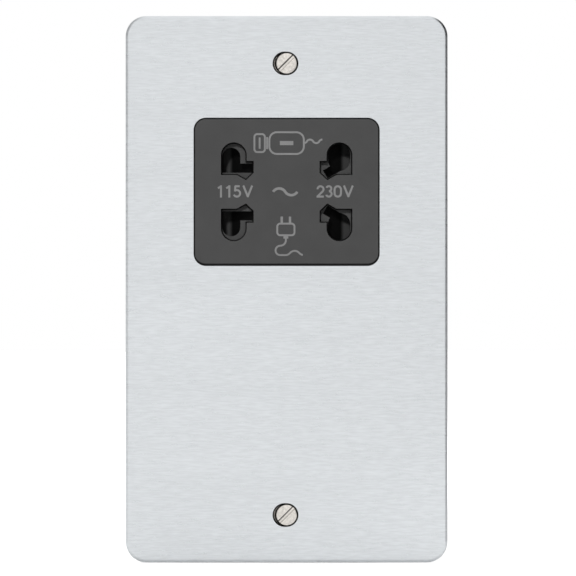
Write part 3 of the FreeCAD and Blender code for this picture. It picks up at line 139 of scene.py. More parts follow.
# Lines of the signs in the same form, in millimetres, and how many degrees of an arc one step takes
SHAVER_LEAD = ((4.6, 0.0), 0, ((0.95, 60), (0.95, -120), (0.95, 120), (0.95, -60)))
CURRENT_WAVE = ((-3.2, -0.1), 58, ((1.9, -116), (1.9, 116)))
PLUG_LEAD = ((0.0, -0.6), -90, ((0.9,), (1.5, -90), (1.25, 180), (1.4,), (1.6, 50), (1.6, -100), (1.6, 40)))
ARC_STEP = 9

# Places of the marks: where each character of a figure starts, in millimetres, and where the signs stand
FIGURES = {"115V": (-18.35, -16.12, -14.02, -11.5), "230V": (8.25, 10.5, 12.8, 15.35)}
FIGURE_RISE = 0.1 * MM
SHAVER_PLACE = (0, 13.0 * MM)
CURRENT_PLACE = (-0.4 * MM, 0.1 * MM)
PLUG_PLACE = (-0.2 * MM, -11.4 * MM)
MARKS_DROP = 6.5 * MM

# Terminal marks, as shares of a letter's height: half widths, line, earth stem, each bar's rise and length
LETTERS = (("L", 0.27), ("N", 0.36))
LETTER_STROKE = 0.18
EARTH_STEM = 0.5
EARTH_BARS = ((0.5, 0.9), (0.27, 0.56), (0.04, 0.22))

# Where painted shade and painted light fade in over a finish, as a start and an end past a line on the piece
RECESS_SHADE_FADE = (0.02 * MM, -0.04 * MM)
GLINT_FADE = (0.17 * MM, 0.09 * MM)
RIM_SHADE_FADE = (-0.36 * MM, -0.24 * MM)
SLOT_SHADE_FADE = (0.18 * MM, 0.15 * MM)
WALL_SHADE_FADE = (0.03 * MM, 0.06 * MM)
LOWER_SHADE_FADE = (-0.03 * MM, 0.03 * MM)
LIT_BAND_START = (14.5 * MM, 15.4 * MM)
LIT_BAND_END = (16.8 * MM, 17.4 * MM)
GLINT_INSET = 0.43 * MM
LOWER_SHADE = 0.45 * MM

# Grain in cells a metre along X, Y and Z, and the middle of a noise
STREAKS = (290, 290, 2350)
BANDS = (12, 12, 90)
SCUFFS = (900, 900, 5200)
ENAMEL = (700, 700, 2400)
NOISE_LOW = 0.3
NOISE_HIGH = 0.7

# Plated and stamped metals: the finish's name, colour, roughness and spread of colour
METALS = {
    "zinc_steel": ("zinc_plating", (0.62, 0.64, 0.66), 0.3, 0.1),
    "spring_steel": ("spring_wire", (0.5, 0.5, 0.5), 0.3, 0.06),
    "contact_bronze": ("contact_bronze", (0.7, 0.43, 0.19), 0.3, 0.1),
    "silver_tip": ("silver_tip", (0.86, 0.85, 0.82), 0.2, 0.06),
    "cutout_can": ("cutout_can", (0.62, 0.62, 0.63), 0.35, 0.06),
    "terminal_brass": ("terminal_brass", (0.78, 0.55, 0.22), 0.26, 0.08),
    "earth_tinned": ("earth_tinning", (0.68, 0.63, 0.52), 0.32, 0.08),
}
LEADS = {
    "lead_brown": (0.1, 0.038, 0.018),
    "lead_blue": (0.02, 0.08, 0.36),
    "lead_grey": (0.28, 0.28, 0.28),
    "lead_black": (0.015, 0.015, 0.015),
    "lead_white": (0.72, 0.72, 0.7),
}
FINISHES = {}

# Stage in metres: lamps, floor, and how what the metal mirrors falls off. A room fade has an axis,
# its start and end along that axis, and the levels there
KEY_PLACE = (-0.2, -1.0, 0.48)
BACK_PLACE = (0.1, 0.9, 0.8)
FLOOR_SIZE = 8
# Painted shadow on the floor's glow that the metal mirrors: it fades out to the right of the plate and within
# a few millimetres of it
FLOOR_RIGHT_SHADE = (0.2, 0.04)
FLOOR_CONTACT_SHADOW = (0.003, 0.015)
ROOM_FADES = (
    ("X", 0.3, 0.52, 1.0, 0.03),
    ("X", -0.6, -0.08, 0.45, 1.0),
    ("Z", -0.9, -0.3, 0.6, 1.0),
)


def length(name, description, default):
    """A length property whose default is given in millimetres."""
    return FloatProperty(name=name, description=description, default=default * MM, unit="LENGTH", precision=5)


def colour(name, description, default):
    """A colour property."""
    return FloatVectorProperty(
        name=name, description=description, default=default, subtype="COLOR", min=0, max=1
    )


def level(name, description, default):
    """A plain number from 0 upwards."""
    return FloatProperty(
        name=name, description=description, default=default, min=0, subtype="FACTOR", soft_max=1
    )


def angle(name, description, degrees):
    """An angle property whose default is given in degrees."""
    return FloatProperty(
        name=name, description=description, default=math.radians(degrees), subtype="ANGLE"
    )


def count(name, description, default, least):
    """A whole number."""
    return IntProperty(name=name, description=description, default=default, min=least)


class ShaverPrintSettings(bpy.types.PropertyGroup):
    """Sizes of the marks printed on the insert and on the rear cover."""
    stroke: length("Stroke", "Width of a printed line", 0.5)
    film: length("Film", "How far the print stands off the insert", 0.02)
    sunk: length("Sunk", "How far the print reaches into the insert", 0.01)
    figure_height: length("Figure height", "Height of the voltage figures", 3.3)
    figure_stroke: length("Figure stroke", "Width of a line of the voltage figures", 0.54)
    letter_height: length("Letter height", "Height of the terminal letters", 4.0)
    letter_rise: length("Letter rise", "How far the terminal letters stand off the cover", 0.35)


class ShaverScrewSettings(bpy.types.PropertyGroup):
    """Sizes of the slots and threads of the screws and studs."""
    head_radius: length("Head radius", "Radius of a fixing screw's head", 3.0)
    recess_radius: length("Recess radius", "Radius of the plate's recess for a fixing screw", 3.15)
    recess_run: length("Recess run", "How much longer that recess is towards -X", 0.6)
    slot_width: length("Slot width", "Width of the driver slot at its floor", 0.5)
    slot_mouth: length("Slot mouth", "Width of the driver slot at the face", 1.2)
    slot_depth: length("Slot depth", "Depth of the driver slot", 0.7)
    slot_turn: angle("Slot turn", "How far the fixing slots are turned", 45)
    fixing_pitch: length("Fixing pitch", "Pitch of the fixing screws' thread", 0.6)
    machine_pitch: length("Machine pitch", "Pitch of the studs' and clamp screws' thread", 0.5)
    thread_share: level("Thread depth", "Depth of a thread as a share of its pitch", 0.6)
    turn_steps: count("Steps", "Segments of one turn of a thread", 24, 8)


class ShaverSpringSettings(bpy.types.PropertyGroup):
    """Sizes of the shutter's springs and of the switch leaf that it moves."""
    wire: length("Wire", "Thickness of the springs' wire", 0.4)
    turns: count("Turns", "Turns of a spring", 11, 3)
    turn_steps: count("Steps", "Segments of one turn of a spring", 24, 8)
    rest: length("Rest", "Room past a spring's end over which it still gives", 1.5)
    leaf: length("Leaf", "Thickness of the switch leaf", 0.3)
    nose: length("Nose", "Width of the leaf's nose at its foot", 3.0)
    fold: length("Fold", "Radius of the leaf's folds", 0.4)
    give: level("Give", "Share of its height that the leaf keeps when the cam has passed", 0.5)


class ShaverFinishSettings(bpy.types.PropertyGroup):
    """Colours of the finishes that show most, and of the painted shade and painted light laid over some of
    them.
    """
    plate: colour("Plate", "Brushed steel of the wall plate", (0.768, 0.795, 0.816))
    insert: colour("Insert", "Grey of the socket insert", (0.062, 0.062, 0.062))
    # Painted shade: this dark is painted on the insert's aperture walls and along the lower rim of its face,
    # where shade falls
    shade: colour("Shade", "Dark of the insert's walls and lower rim", (0.006, 0.006, 0.006))
    shutter: colour("Shutter", "Moulding of the shutter", (0.003, 0.003, 0.003))
    # Painted light: this grey is a lighter band painted across the shutter behind each hole, standing in for
    # the light on it rather than rubbing
    rubbed: colour("Rubbed", "Grey of the shutter where it has rubbed", (0.05, 0.05, 0.05))
    # Painted shade: this dark is painted into the plate's screw recesses, round the screw heads' rims and
    # along their slot walls
    recess: colour("Recess", "Dark of the narrow gaps round the fixing screws", (0.012, 0.011, 0.01))
    # Painted highlight: a light line painted half-way down each screw recess, inside its painted shade, not
    # wear
    painted_glint: colour("Worn", "Steel that shows half-way down a recess", (0.8, 0.8, 0.8))
    marks: colour("Marks", "Grey of the printed marks", (0.2, 0.2, 0.2))
    nickel: colour("Nickel", "Plating of the fixing screws", (0.77, 0.735, 0.69))
    housing: colour("Housing", "Moulding of the rear casing", (0.72, 0.71, 0.67))
    copper: colour("Copper", "Enamelled wire of the windings", (0.42, 0.13, 0.045))


class ShaverStageSettings(bpy.types.PropertyGroup):
    """Camera, floor and light."""
    distance: length("Distance", "Camera to plate", 1200.0)
    view_width: length("View width", "Width of the picture at the plate", 153.8)
    aim_x: length("Aim X", "Camera's place to the right of the plate's middle", 0.37)
    aim_z: length("Aim Z", "Camera's place above the plate's middle", 0.32)
    floor_gap: length("Floor gap", "Room between the plate and the floor", 0.3)
    floor: colour("Floor", "Pale floor", (0.86, 0.86, 0.86))
    floor_white: level("Floor white", "What the camera sees on the floor beyond the lamps' light", 0.62)
    floor_lift: level("Floor lift", "What the metal sees on the floor beyond the lamps' light", 0.31)
    ambient: level("Room light", "Strength of the light from all round", 0.34)
    key_strength: level("Key lamp", "Strength of the key lamp", 2.34)
    key_spread: angle("Key spread", "Softness of the key lamp", 6)
    back_power: FloatProperty(
        name="Back lamp", description="Power of the back lamp", default=6.0, unit="POWER"
    )
    back_size: length("Back size", "Width of the back lamp", 600.0)


def settings():
    """The sizes and colours that the operators read."""
    return bpy.context.scene.shaver_socket


class ShaverSocketSettings(bpy.types.PropertyGroup):
    """All that a user would change on the socket."""
    marks: PointerProperty(type=ShaverPrintSettings)
    screws: PointerProperty(type=ShaverScrewSettings)
    springs: PointerProperty(type=ShaverSpringSettings)
    finish: PointerProperty(type=ShaverFinishSettings)
    stage: PointerProperty(type=ShaverStageSettings)


def deselect():
    """Leaves edit mode and selects nothing."""
    if bpy.context.mode != "OBJECT":
        bpy.ops.object.mode_set(mode="OBJECT")
    bpy.ops.object.select_all(action="DESELECT")


def select_only(*objects):
    """Selects these objects and makes the first one active."""
    deselect()
    for item in objects:
        item.select_set(True)
    bpy.context.view_layer.objects.active = objects[0]


def named(name):
    """Names the object that was just added."""
    made = bpy.context.object
    made.name = name
    made.data.name = name
    return made


def apply_place(piece):
    """Puts a piece's place, turn and scale into its mesh."""
    select_only(piece)
    bpy.ops.object.transform_apply(location=True, rotation=True, scale=True)
    return piece


def edit(piece):
    """Opens a piece in edit mode with everything selected."""
    select_only(piece)
    bpy.ops.object.mode_set(mode="EDIT")
    bpy.ops.mesh.select_all(action="SELECT")


def pick(piece, kind, wanted):
    """Opens a piece in edit mode with only the wanted vertices or edges selected."""
    edit(piece)
    bpy.ops.mesh.select_mode(type=kind)
    bpy.ops.mesh.select_all(action="DESELECT")
    bpy.ops.object.mode_set(mode="OBJECT")
    for item in piece.data.edges if kind == "EDGE" else piece.data.vertices:
        item.select = wanted(item)
    bpy.ops.object.mode_set(mode="EDIT")


def discard(piece):
    """Deletes a piece."""
    select_only(piece)
    bpy.ops.object.delete()


def close_up(piece):
    """Merges doubles, turns the faces outwards and leaves edit mode."""
    edit(piece)
    bpy.ops.mesh.remove_doubles(threshold=MERGE)
    bpy.ops.mesh.normals_make_consistent(inside=False)
    bpy.ops.object.mode_set(mode="OBJECT")
    return piece


def with_modifier(piece, kind, **values):
    """Adds a modifier to a piece and applies it."""
    select_only(piece)
    modifier = piece.modifiers.new(kind.title(), kind)
    for key, value in values.items():
        setattr(modifier, key, value)
    bpy.ops.object.modifier_apply(modifier=modifier.name)
    return piece


def cut_away(piece, cutter):
    """Takes a cutter's shape out of a piece and deletes the cutter."""
    with_modifier(piece, "BOOLEAN", operation="DIFFERENCE", object=cutter, solver="EXACT")
    discard(cutter)
    return piece


def merged(name, piece, *others):
    """Welds pieces that overlap into one closed shell."""
    for other in others:
        with_modifier(piece, "BOOLEAN", operation="UNION", object=other, solver="EXACT")
        discard(other)
    edit(piece)
    bpy.ops.mesh.dissolve_degenerate(threshold=MERGE)
    bpy.ops.mesh.quads_convert_to_tris(quad_method="BEAUTY", ngon_method="BEAUTY")
    close_up(piece)
    piece.name = name
    piece.data.name = name
    return piece


def joined(name, pieces):
    """Joins pieces into one object."""
    select_only(*pieces)
    bpy.ops.object.join()
    return named(name)


def smooth(piece, degrees=35):
    """Smooth shading up to an angle."""
    select_only(piece)
    bpy.ops.object.shade_smooth_by_angle(angle=math.radians(degrees))
    return piece


def dress(piece, slot, *nodes):
    """Gives a finished piece its finish and hides the nodes that it stands for."""
    piece.data.materials.clear()
    piece.data.materials.append(FINISHES[slot])
    if nodes:
        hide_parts(*nodes)


def hand_over(piece, slot, *nodes):
    """Dresses a finished piece and puts it on the fixed body."""
    dress(piece, slot, *nodes)
    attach(piece, "base")


def turned(name, rings, vertices=64):
    """A body turned about Z from rings of (radius, height), closed at both ends."""
    deselect()
    radius, height = rings[0]
    bpy.ops.mesh.primitive_circle_add(
        vertices=vertices, radius=radius, fill_type="NGON", location=(0, 0, height)
    )
    body = apply_place(named(name))
    edit(body)
    for (old_radius, old_height), (radius, height) in zip(rings, rings[1:]):
        bpy.ops.mesh.extrude_region_move(TRANSFORM_OT_translate={"value": (0, 0, height - old_height)})
        ratio = radius / old_radius
        bpy.ops.transform.resize(value=(ratio, ratio, 1), center_override=(0, 0, height))
    return close_up(body)


def screwed(piece, pitch, turns, steps):
    """Sweeps a profile up a helix about Z."""
    return with_modifier(
        piece, "SCREW", axis="Z", angle=math.tau, screw_offset=pitch, iterations=turns,
        steps=steps, render_steps=steps, use_merge_vertices=False, use_smooth_shade=False
    )


def thread(name, radius, pitch, start, end, tip):
    """A closed V thread about Z between two heights, with a tapered tip at its far end."""
    sizes = settings().screws
    root = radius - pitch * sizes.thread_share
    deselect()
    bpy.ops.mesh.primitive_circle_add(vertices=3, radius=radius, fill_type="NOTHING")
    rod = named(name)
    low = start - pitch
    corners = ((root, low), (radius, low + pitch / 2), (root, low + pitch))
    for vertex, (out, up) in zip(rod.data.vertices, corners):
        vertex.co = (out, 0, up)
    pick(rod, "EDGE", lambda line: {0, 2} == set(line.vertices))
    bpy.ops.mesh.delete(type="EDGE")
    bpy.ops.object.mode_set(mode="OBJECT")
    screwed(rod, pitch, math.ceil((end - start) / pitch) + 2, sizes.turn_steps)
    close_up(rod)
    for height, direction in ((start, -1), (end, 1)):
        edit(rod)
        bpy.ops.mesh.bisect(
            plane_co=(0, 0, height), plane_no=(0, 0, direction), use_fill=True, clear_outer=True
        )
        bpy.ops.object.mode_set(mode="OBJECT")
    pick(rod, "VERT", lambda vertex: vertex.co.z > end - MERGE)
    ratio = 1 - tip / radius
    bpy.ops.transform.resize(value=(ratio, ratio, 1), center_override=(0, 0, end))
    return close_up(rod)


def slot_cutter(front, inward, reach, turn):
    """A driver slot's cutter about Z: it opens at front and narrows inward, +1 or -1 along Z."""
    sizes = settings().screws
    deselect()
    bpy.ops.mesh.primitive_cube_add(size=1, location=(0, 0, front))
    cutter = named("slot_cutter")
    cutter.scale = (2 * reach, sizes.slot_mouth, 2 * sizes.slot_depth)
    apply_place(cutter)
    for vertex in cutter.data.vertices:
        if (vertex.co.z - front) * inward > 0:
            vertex.co.y *= sizes.slot_width / sizes.slot_mouth
    cutter.rotation_euler = (0, 0, turn)
    return apply_place(cutter)


def along_y(piece, x, z):
    """Turns a piece that was made about Z to lie along Y, at a place on the plate."""
    piece.rotation_euler = (-math.pi / 2, 0, 0)
    piece.location = (x, 0, z)
    return apply_place(piece)


def set_out(name, piece, places):
    """Copies a piece that was made about Z to places (x, z) on the plate, as one object along Y."""
    copies = []
    for x, z in places:
        select_only(piece)
        bpy.ops.object.duplicate()
        copies.append(along_y(bpy.context.object, x, z))
    discard(piece)
    return smooth(joined(name, copies))


def crown(radius, face, inward, steps):
    """Rings of a head's rounded face, from its middle to its rim."""
    return [(radius - inset * MM, face + inward * drop * MM) for inset, drop in steps]


class ShaverSocketFixingScrews(bpy.types.Operator):
    """Model the two slotted fixing screws with their threads"""
    bl_idname = "shaver_socket.fixing_screws"
    bl_label = "Fixing Screws"

    def execute(self, context):
        sizes = settings().screws
        radius = sizes.head_radius
        front = SCREWS_LOW.y
        neck = HEAD_SEAT + radius - NECK_RADIUS
        rings = crown(radius, front, 1, FIXING_CROWN)
        rings += [(radius, HEAD_SEAT), (NECK_RADIUS, neck), (NECK_RADIUS, neck + NECK_LENGTH)]
        head = turned("screw_head", rings, HEAD_SIDES)
        cut_away(head, slot_cutter(front, 1, radius * SLOT_REACH, -sizes.slot_turn))
        shank = thread(
            "screw_shank", SHANK_RADIUS, sizes.fixing_pitch, neck - THREAD_LAP, SCREWS_HIGH.y, SHANK_TIP
        )
        places = [(0, SCREWS_LOW.z + radius), (0, SCREWS_HIGH.z - radius)]
        screws = set_out("threaded_fixing_screws", merged("fixing_screw", head, shank), places)
        hand_over(screws, "nickel_screw", "fixing_screws")
        return {"FINISHED"}


class ShaverSocketStuds(bpy.types.Operator):
    """Model the four threaded studs on the back of the plate"""
    bl_idname = "shaver_socket.studs"
    bl_label = "Threaded Studs"

    def execute(self, context):
        pitch = settings().screws.machine_pitch
        stud = thread("stud", STUD_RADIUS, pitch, STUDS_LOW.y, STUDS_HIGH.y, STUD_TIP)
        places = [
            (x, z)
            for x in (STUDS_LOW.x + STUD_RADIUS, STUDS_HIGH.x - STUD_RADIUS)
            for z in (STUDS_LOW.z + STUD_RADIUS, STUDS_HIGH.z - STUD_RADIUS)
        ]
        hand_over(set_out("threaded_studs", stud, places), "zinc_steel", "plate_studs")
        return {"FINISHED"}


class ShaverSocketClampScrews(bpy.types.Operator):
    """Model the three clamp screws of the supply terminals"""
    bl_idname = "shaver_socket.clamp_screws"
    bl_label = "Clamp Screws"

    def execute(self, context):
        thread_pitch = settings().screws.machine_pitch
        radius = (CLAMPS_HIGH.z - CLAMPS_LOW.z) / 2
        back = CLAMPS_HIGH.y
        seat = back - CLAMP_HEAD
        rings = [(radius - CLAMP_BEVEL, seat), (radius, seat + CLAMP_BEVEL)]
        rings += reversed(crown(radius, back, -1, CLAMP_CROWN))
        spacing = (CLAMPS_HIGH.x - CLAMPS_LOW.x) / 2 - radius
        z = (CLAMPS_LOW.z + CLAMPS_HIGH.z) / 2
        screws = []
        for step, turn in enumerate(CLAMP_TURNS):
            head = turned("clamp_head", rings)
            cut_away(head, slot_cutter(back, -1, radius * SLOT_REACH, turn))
            shank = thread(
                "clamp_shank", CLAMP_RADIUS, thread_pitch, CLAMPS_LOW.y, seat + THREAD_LAP, 0
            )
            x = CLAMPS_LOW.x + radius + step * spacing
            screws.append(along_y(merged("clamp_screw", head, shank), x, z))
        hand_over(smooth(joined("threaded_clamp_screws", screws)), "nickel_screw", "terminal_screws")
        return {"FINISHED"}


def wound(name, node, turns):
    """A winding whose outside shows its turns of wire, ring above ring."""
    low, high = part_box(node)
    middle = (low + high) / 2
    width, depth, height = high - low
    wire = height / turns
    dip = wire * TURN_DIP
    deselect()
    bpy.ops.mesh.primitive_plane_add(size=1, location=(middle.x, middle.y, low.z))
    coil = named(name)
    coil.scale = (width - 2 * dip, depth - 2 * dip, 1)
    apply_place(coil)
    edit(coil)
    bpy.ops.mesh.bevel(offset=WINDING_CORNER, segments=6, affect="VERTICES")
    grow = (width / (width - 2 * dip), depth / (depth - 2 * dip), 1)
    shrink = (1 / grow[0], 1 / grow[1], 1)
    for _ in range(turns):
        for rise, ratio in ((TURN_FLANK, grow), (TURN_CREST, None), (TURN_FLANK, shrink)):
            bpy.ops.mesh.extrude_region_move(TRANSFORM_OT_translate={"value": (0, 0, wire * rise)})
            if ratio:
                bpy.ops.transform.resize(value=ratio, center_override=(middle.x, middle.y, 0))
    close_up(coil)
    deselect()
    bpy.ops.mesh.primitive_cube_add(size=1, location=middle)
    hollow = named("coil_hollow")
    hollow.scale = (width - 2 * WINDING_SIDE, depth - 2 * WINDING_END, 2 * height)
    return smooth(cut_away(coil, apply_place(hollow)), 50)


class ShaverSocketWindings(bpy.types.Operator):
    """Model the turns of wire on the transformer's two windings"""
    bl_idname = "shaver_socket.windings"
    bl_label = "Windings"

    def execute(self, context):
        for node, turns in WINDING_TURNS.items():
            hand_over(wound(f"{node}_turns", node, turns), "copper_winding", node)
        return {"FINISHED"}


class Line:
    """A flat line of one width in the XY plane, drawn by straight runs and arcs from a start."""

    def __init__(self, name, start, heading, width):
        self.place = start
        self.heading = math.radians(heading)
        deselect()
        bpy.ops.mesh.primitive_plane_add(size=1)
        self.mesh = named(name)
        across = (-math.sin(self.heading) * width / 2, math.cos(self.heading) * width / 2)
        corners = self.mesh.data.vertices
        corners[0].co = (start[0] - across[0], start[1] - across[1], 0)
        corners[1].co = (start[0] + across[0], start[1] + across[1], 0)
        pick(self.mesh, "VERT", lambda vertex: vertex.index > 1)
        bpy.ops.mesh.delete(type="VERT")
        bpy.ops.mesh.select_all(action="SELECT")

    def run(self, distance):
        """Draws straight on."""
        step = (math.cos(self.heading) * distance, math.sin(self.heading) * distance)
        bpy.ops.mesh.extrude_region_move(TRANSFORM_OT_translate={"value": (*step, 0)})
        self.place = (self.place[0] + step[0], self.place[1] + step[1])
        return self

    def turn(self, radius, degrees):
        """Draws an arc, to the left where the angle is positive."""
        side = math.copysign(radius, degrees)
        sweep = math.radians(degrees)
        ahead = self.heading + sweep
        centre = (
            self.place[0] - math.sin(self.heading) * side,
            self.place[1] + math.cos(self.heading) * side,
        )
        bpy.ops.mesh.spin(
            steps=max(3, round(abs(degrees) / ARC_STEP)), angle=-sweep, center=(*centre, 0), axis=(0, 0, 1)
        )
        self.place = (centre[0] + math.sin(ahead) * side, centre[1] - math.cos(ahead) * side)
        self.heading = ahead
        return self

    def follow(self, moves, scale):
        """Draws runs (length,) and arcs (radius, degrees), their sizes times a scale."""
        for size, *degrees in moves:
            if degrees:
                self.turn(size * scale, degrees[0])
            else:
                self.run(size * scale)
        return self

    def done(self, thickness):
        """Gives the line its thickness about the XY plane."""
        close_up(self.mesh)
        edit(self.mesh)
        bpy.ops.transform.translate(value=(0, 0, -thickness / 2))
        bpy.ops.mesh.extrude_region_move(TRANSFORM_OT_translate={"value": (0, 0, thickness)})
        return close_up(self.mesh)


def bar(start, heading, distance, width, thickness):
    """A short straight line."""
    return Line("bar", start, heading, width).run(distance).done(thickness)


def ring(x_range, y_range, corner, width, thickness):
    """A rounded rectangle drawn as one closed line."""
    low_x, high_x = x_range
    low_y, high_y = y_range
    line = Line("ring", (low_x + corner, low_y), 0, width)
    for distance in (high_x - low_x, high_y - low_y) * 2:
        line.run(distance - 2 * corner).turn(corner, 90)
    return line.done(thickness)


def stroke(name, shape, place, scale, width, thickness):
    """One line of a character or sign, drawn from its start, heading and moves."""
    (across, up), heading, moves = shape
    start = (place[0] + across * scale, place[1] + up * scale)
    return Line(name, start, heading, width).follow(moves, scale).done(thickness)


def written(name, places, height, width, thickness):
    """Characters drawn as plain strokes, each at its own place, as one shell a character."""
    characters = []
    for character, x, y in places:
        strokes = [
            stroke("stroke", shape, (x, y), height, width, thickness) for shape in STROKES[character]
        ]
        characters.append(merged("character", *strokes))
    return joined(name, characters)


class ShaverSocketSprings(bpy.types.Operator):
    """Wind the two springs that bring the shutter back"""
    bl_idname = "shaver_socket.springs"
    bl_label = "Shutter Springs"

    def execute(self, context):
        sizes = settings().springs
        for node, side in (("shutter_spring_left", -1), ("shutter_spring_right", 1)):
            low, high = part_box(node)
            middle = (low + high) / 2
            coil_radius = (high.z - low.z - sizes.wire) / 2
            rise = high.x - low.x - sizes.wire
            deselect()
            bpy.ops.mesh.primitive_circle_add(vertices=WIRE_SIDES, radius=sizes.wire / 2)
            spring = named(f"{node}_coil")
            spring.location = (coil_radius, 0, -rise / 2)
            spring.rotation_euler = (math.pi / 2, 0, 0)
            screwed(apply_place(spring), rise / sizes.turns, sizes.turns, sizes.turn_steps)
            edit(spring)
            bpy.ops.mesh.fill_holes(sides=0)
            close_up(spring)
            spring.rotation_euler = (0, math.pi / 2, 0)
            spring.location = middle
            dress(smooth(apply_place(spring)), "spring_steel", node)
            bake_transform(spring)
        return {"FINISHED"}


class ShaverSocketSwitchLeaf(bpy.types.Operator):
    """Fold the switch's spring leaf with its nose"""
    bl_idname = "shaver_socket.switch_leaf"
    bl_label = "Switch Leaf"

    def execute(self, context):
        sizes = settings().springs
        low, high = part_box("switch_moving_leaf")
        rise = high.z - low.z - sizes.leaf
        half_nose = sizes.nose / 2
        slope = math.degrees(math.atan2(rise, half_nose))
        foot = sizes.fold * math.tan(math.radians(slope) / 2)
        crown = sizes.fold * math.tan(math.radians(slope))
        flank = math.hypot(rise, half_nose) - foot - crown
        leaf = Line("switch_leaf", (high.x, low.z + sizes.leaf / 2), 180, sizes.leaf)
        leaf.run(high.x - half_nose - foot).turn(sizes.fold, -slope).run(flank).turn(sizes.fold, 2 * slope)
        leaf.run(flank).turn(sizes.fold, -slope).run(-low.x - half_nose - foot)
        piece = leaf.done(high.y - low.y)
        piece.rotation_euler = (math.pi / 2, 0, 0)
        piece.location = (0, (low.y + high.y) / 2, 0)
        hand_over(smooth(apply_place(piece)), "contact_bronze", "switch_moving_leaf")
        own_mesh(piece)
        return {"FINISHED"}


def film_thickness():
    """The whole thickness of a printed mark."""
    marks = settings().marks
    return marks.film + marks.sunk


def print_on_insert(piece, x, z):
    """Puts a mark that was drawn in the XY plane on the insert's face and hands it over."""
    marks = settings().marks
    piece.rotation_euler = (math.pi / 2, 0, 0)
    piece.location = (x, FACE_Y + (marks.sunk - marks.film) / 2, SOCKET_Z + z)
    hand_over(apply_place(piece), "print_grey")


class ShaverSocketFigures(bpy.types.Operator):
    """Print the voltage of each side between its apertures"""
    bl_idname = "shaver_socket.figures"
    bl_label = "Voltage Figures"

    def execute(self, context):
        marks = settings().marks
        height = marks.figure_height - marks.figure_stroke
        for text, starts in FIGURES.items():
            places = [(character, x * MM, 0) for character, x in zip(text, starts)]
            drawn = written(f"figure_{text}", places, height, marks.figure_stroke, film_thickness())
            print_on_insert(drawn, 0, FIGURE_RISE - height / 2)
        return {"FINISHED"}


class ShaverSocketShaverSign(bpy.types.Operator):
    """Print the outline of a shaver with its lead above the figures"""
    bl_idname = "shaver_socket.shaver_sign"
    bl_label = "Shaver Sign"

    def execute(self, context):
        width = settings().marks.stroke
        film = film_thickness()
        body_x, body_y, body_corner = 4.6 * MM, 2.9 * MM, 2.0 * MM
        head_x, head_y, head_corner = (-8.6 * MM, -5.8 * MM), 2.4 * MM, 0.8 * MM
        foil_x, foil_y = -7.2 * MM, 1.5 * MM
        neck_x, neck_y = -5.2 * MM, 1.6 * MM
        switch_x, switch_width = 1.8 * MM, width * 2.2
        sign = merged(
            "shaver_sign",
            ring((-body_x, body_x), (-body_y, body_y), body_corner, width, film),
            ring(head_x, (-head_y, head_y), head_corner, width, film),
            bar((foil_x, -foil_y), 90, 2 * foil_y, width, film),
            bar((neck_x, -neck_y), 90, 2 * neck_y, width, film),
            bar((-switch_x, 0), 0, 2 * switch_x, switch_width, film),
            stroke("shaver_lead", SHAVER_LEAD, (0, 0), MM, width, film),
        )
        print_on_insert(sign, *SHAVER_PLACE)
        return {"FINISHED"}


class ShaverSocketCurrentSign(bpy.types.Operator):
    """Print the sign for alternating current between the figures"""
    bl_idname = "shaver_socket.current_sign"
    bl_label = "Current Sign"

    def execute(self, context):
        width = settings().marks.stroke * 1.4
        wave = stroke("current_sign", CURRENT_WAVE, (0, 0), MM, width, film_thickness())
        print_on_insert(wave, *CURRENT_PLACE)
        return {"FINISHED"}


class ShaverSocketPlugSign(bpy.types.Operator):
    """Print a two-pin plug with its lead below the figures"""
    bl_idname = "shaver_socket.plug_sign"
    bl_label = "Plug Sign"

    def execute(self, context):
        width = settings().marks.stroke
        film = film_thickness()
        body_x, body_y, body_corner = 2.3 * MM, (-0.2 * MM, 2.9 * MM), 0.8 * MM
        pin_x, pin_y, pin_length, pin_width = 1.1 * MM, 2.8 * MM, 2.0 * MM, width * 1.3
        bush_y, bush_length, bush_width = -0.1 * MM, 1.0 * MM, width * 2.6
        sign = merged(
            "plug_sign",
            ring((-body_x, body_x), body_y, body_corner, width, film),
            bar((-pin_x, pin_y), 90, pin_length, pin_width, film),
            bar((pin_x, pin_y), 90, pin_length, pin_width, film),
            bar((0, bush_y), -90, bush_length, bush_width, film),
            stroke("plug_lead", PLUG_LEAD, (0, 0), MM, width, film),
        )
        print_on_insert(sign, *PLUG_PLACE)
        return {"FINISHED"}


class ShaverSocketTerminalMarks(bpy.types.Operator):
    """Print the raised letters and the earth sign under the supply terminals"""
    bl_idname = "shaver_socket.terminal_marks"
    bl_label = "Terminal Marks"

    def execute(self, context):
        marks = settings().marks
        height = marks.letter_height
        rise = 2 * marks.letter_rise
        width = height * LETTER_STROKE
        neutral_low, neutral_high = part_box("terminal_neutral")
        pitch = (EARTH_LOW.x + EARTH_HIGH.x - neutral_low.x - neutral_high.x) / 2
        earth = [bar((0, height), -90, height * EARTH_STEM, width, rise)]
        for up, reach in EARTH_BARS:
            earth.append(bar((-height * reach / 2, height * up), 0, height * reach, width, rise))
        signs = [
            written("letter", [(letter, -height * half, 0)], height, width, rise)
            for letter, half in LETTERS
        ]
        signs.append(merged("earth_sign", *earth))
        for step, sign in enumerate(signs):
            sign.rotation_euler = (math.pi / 2, 0, math.pi)
            sign.location = ((step - 1) * pitch, COVER_Y, EARTH_LOW.z - height - MARKS_DROP)
            apply_place(sign)
        hand_over(joined("terminal_marks", signs), "print_grey")
        return {"FINISHED"}


def begin(name, metallic, roughness):
    """A new material: the material, its nodes' tree and its shader."""
    material = bpy.data.materials.new(name)
    material.use_nodes = True
    tree = material.node_tree
    shader = tree.nodes["Principled BSDF"]
    shader.inputs["Metallic"].default_value = metallic
    shader.inputs["Roughness"].default_value = roughness
    return material, tree, shader


def add(tree, kind, values=None, **links):
    """A node with its values by socket name and the outputs that feed its sockets."""
    node = tree.nodes.new(kind)
    for key, value in (values or {}).items():
        node.inputs[key].default_value = value
    for key, output in links.items():
        tree.links.new(output, node.inputs[key])
    return node


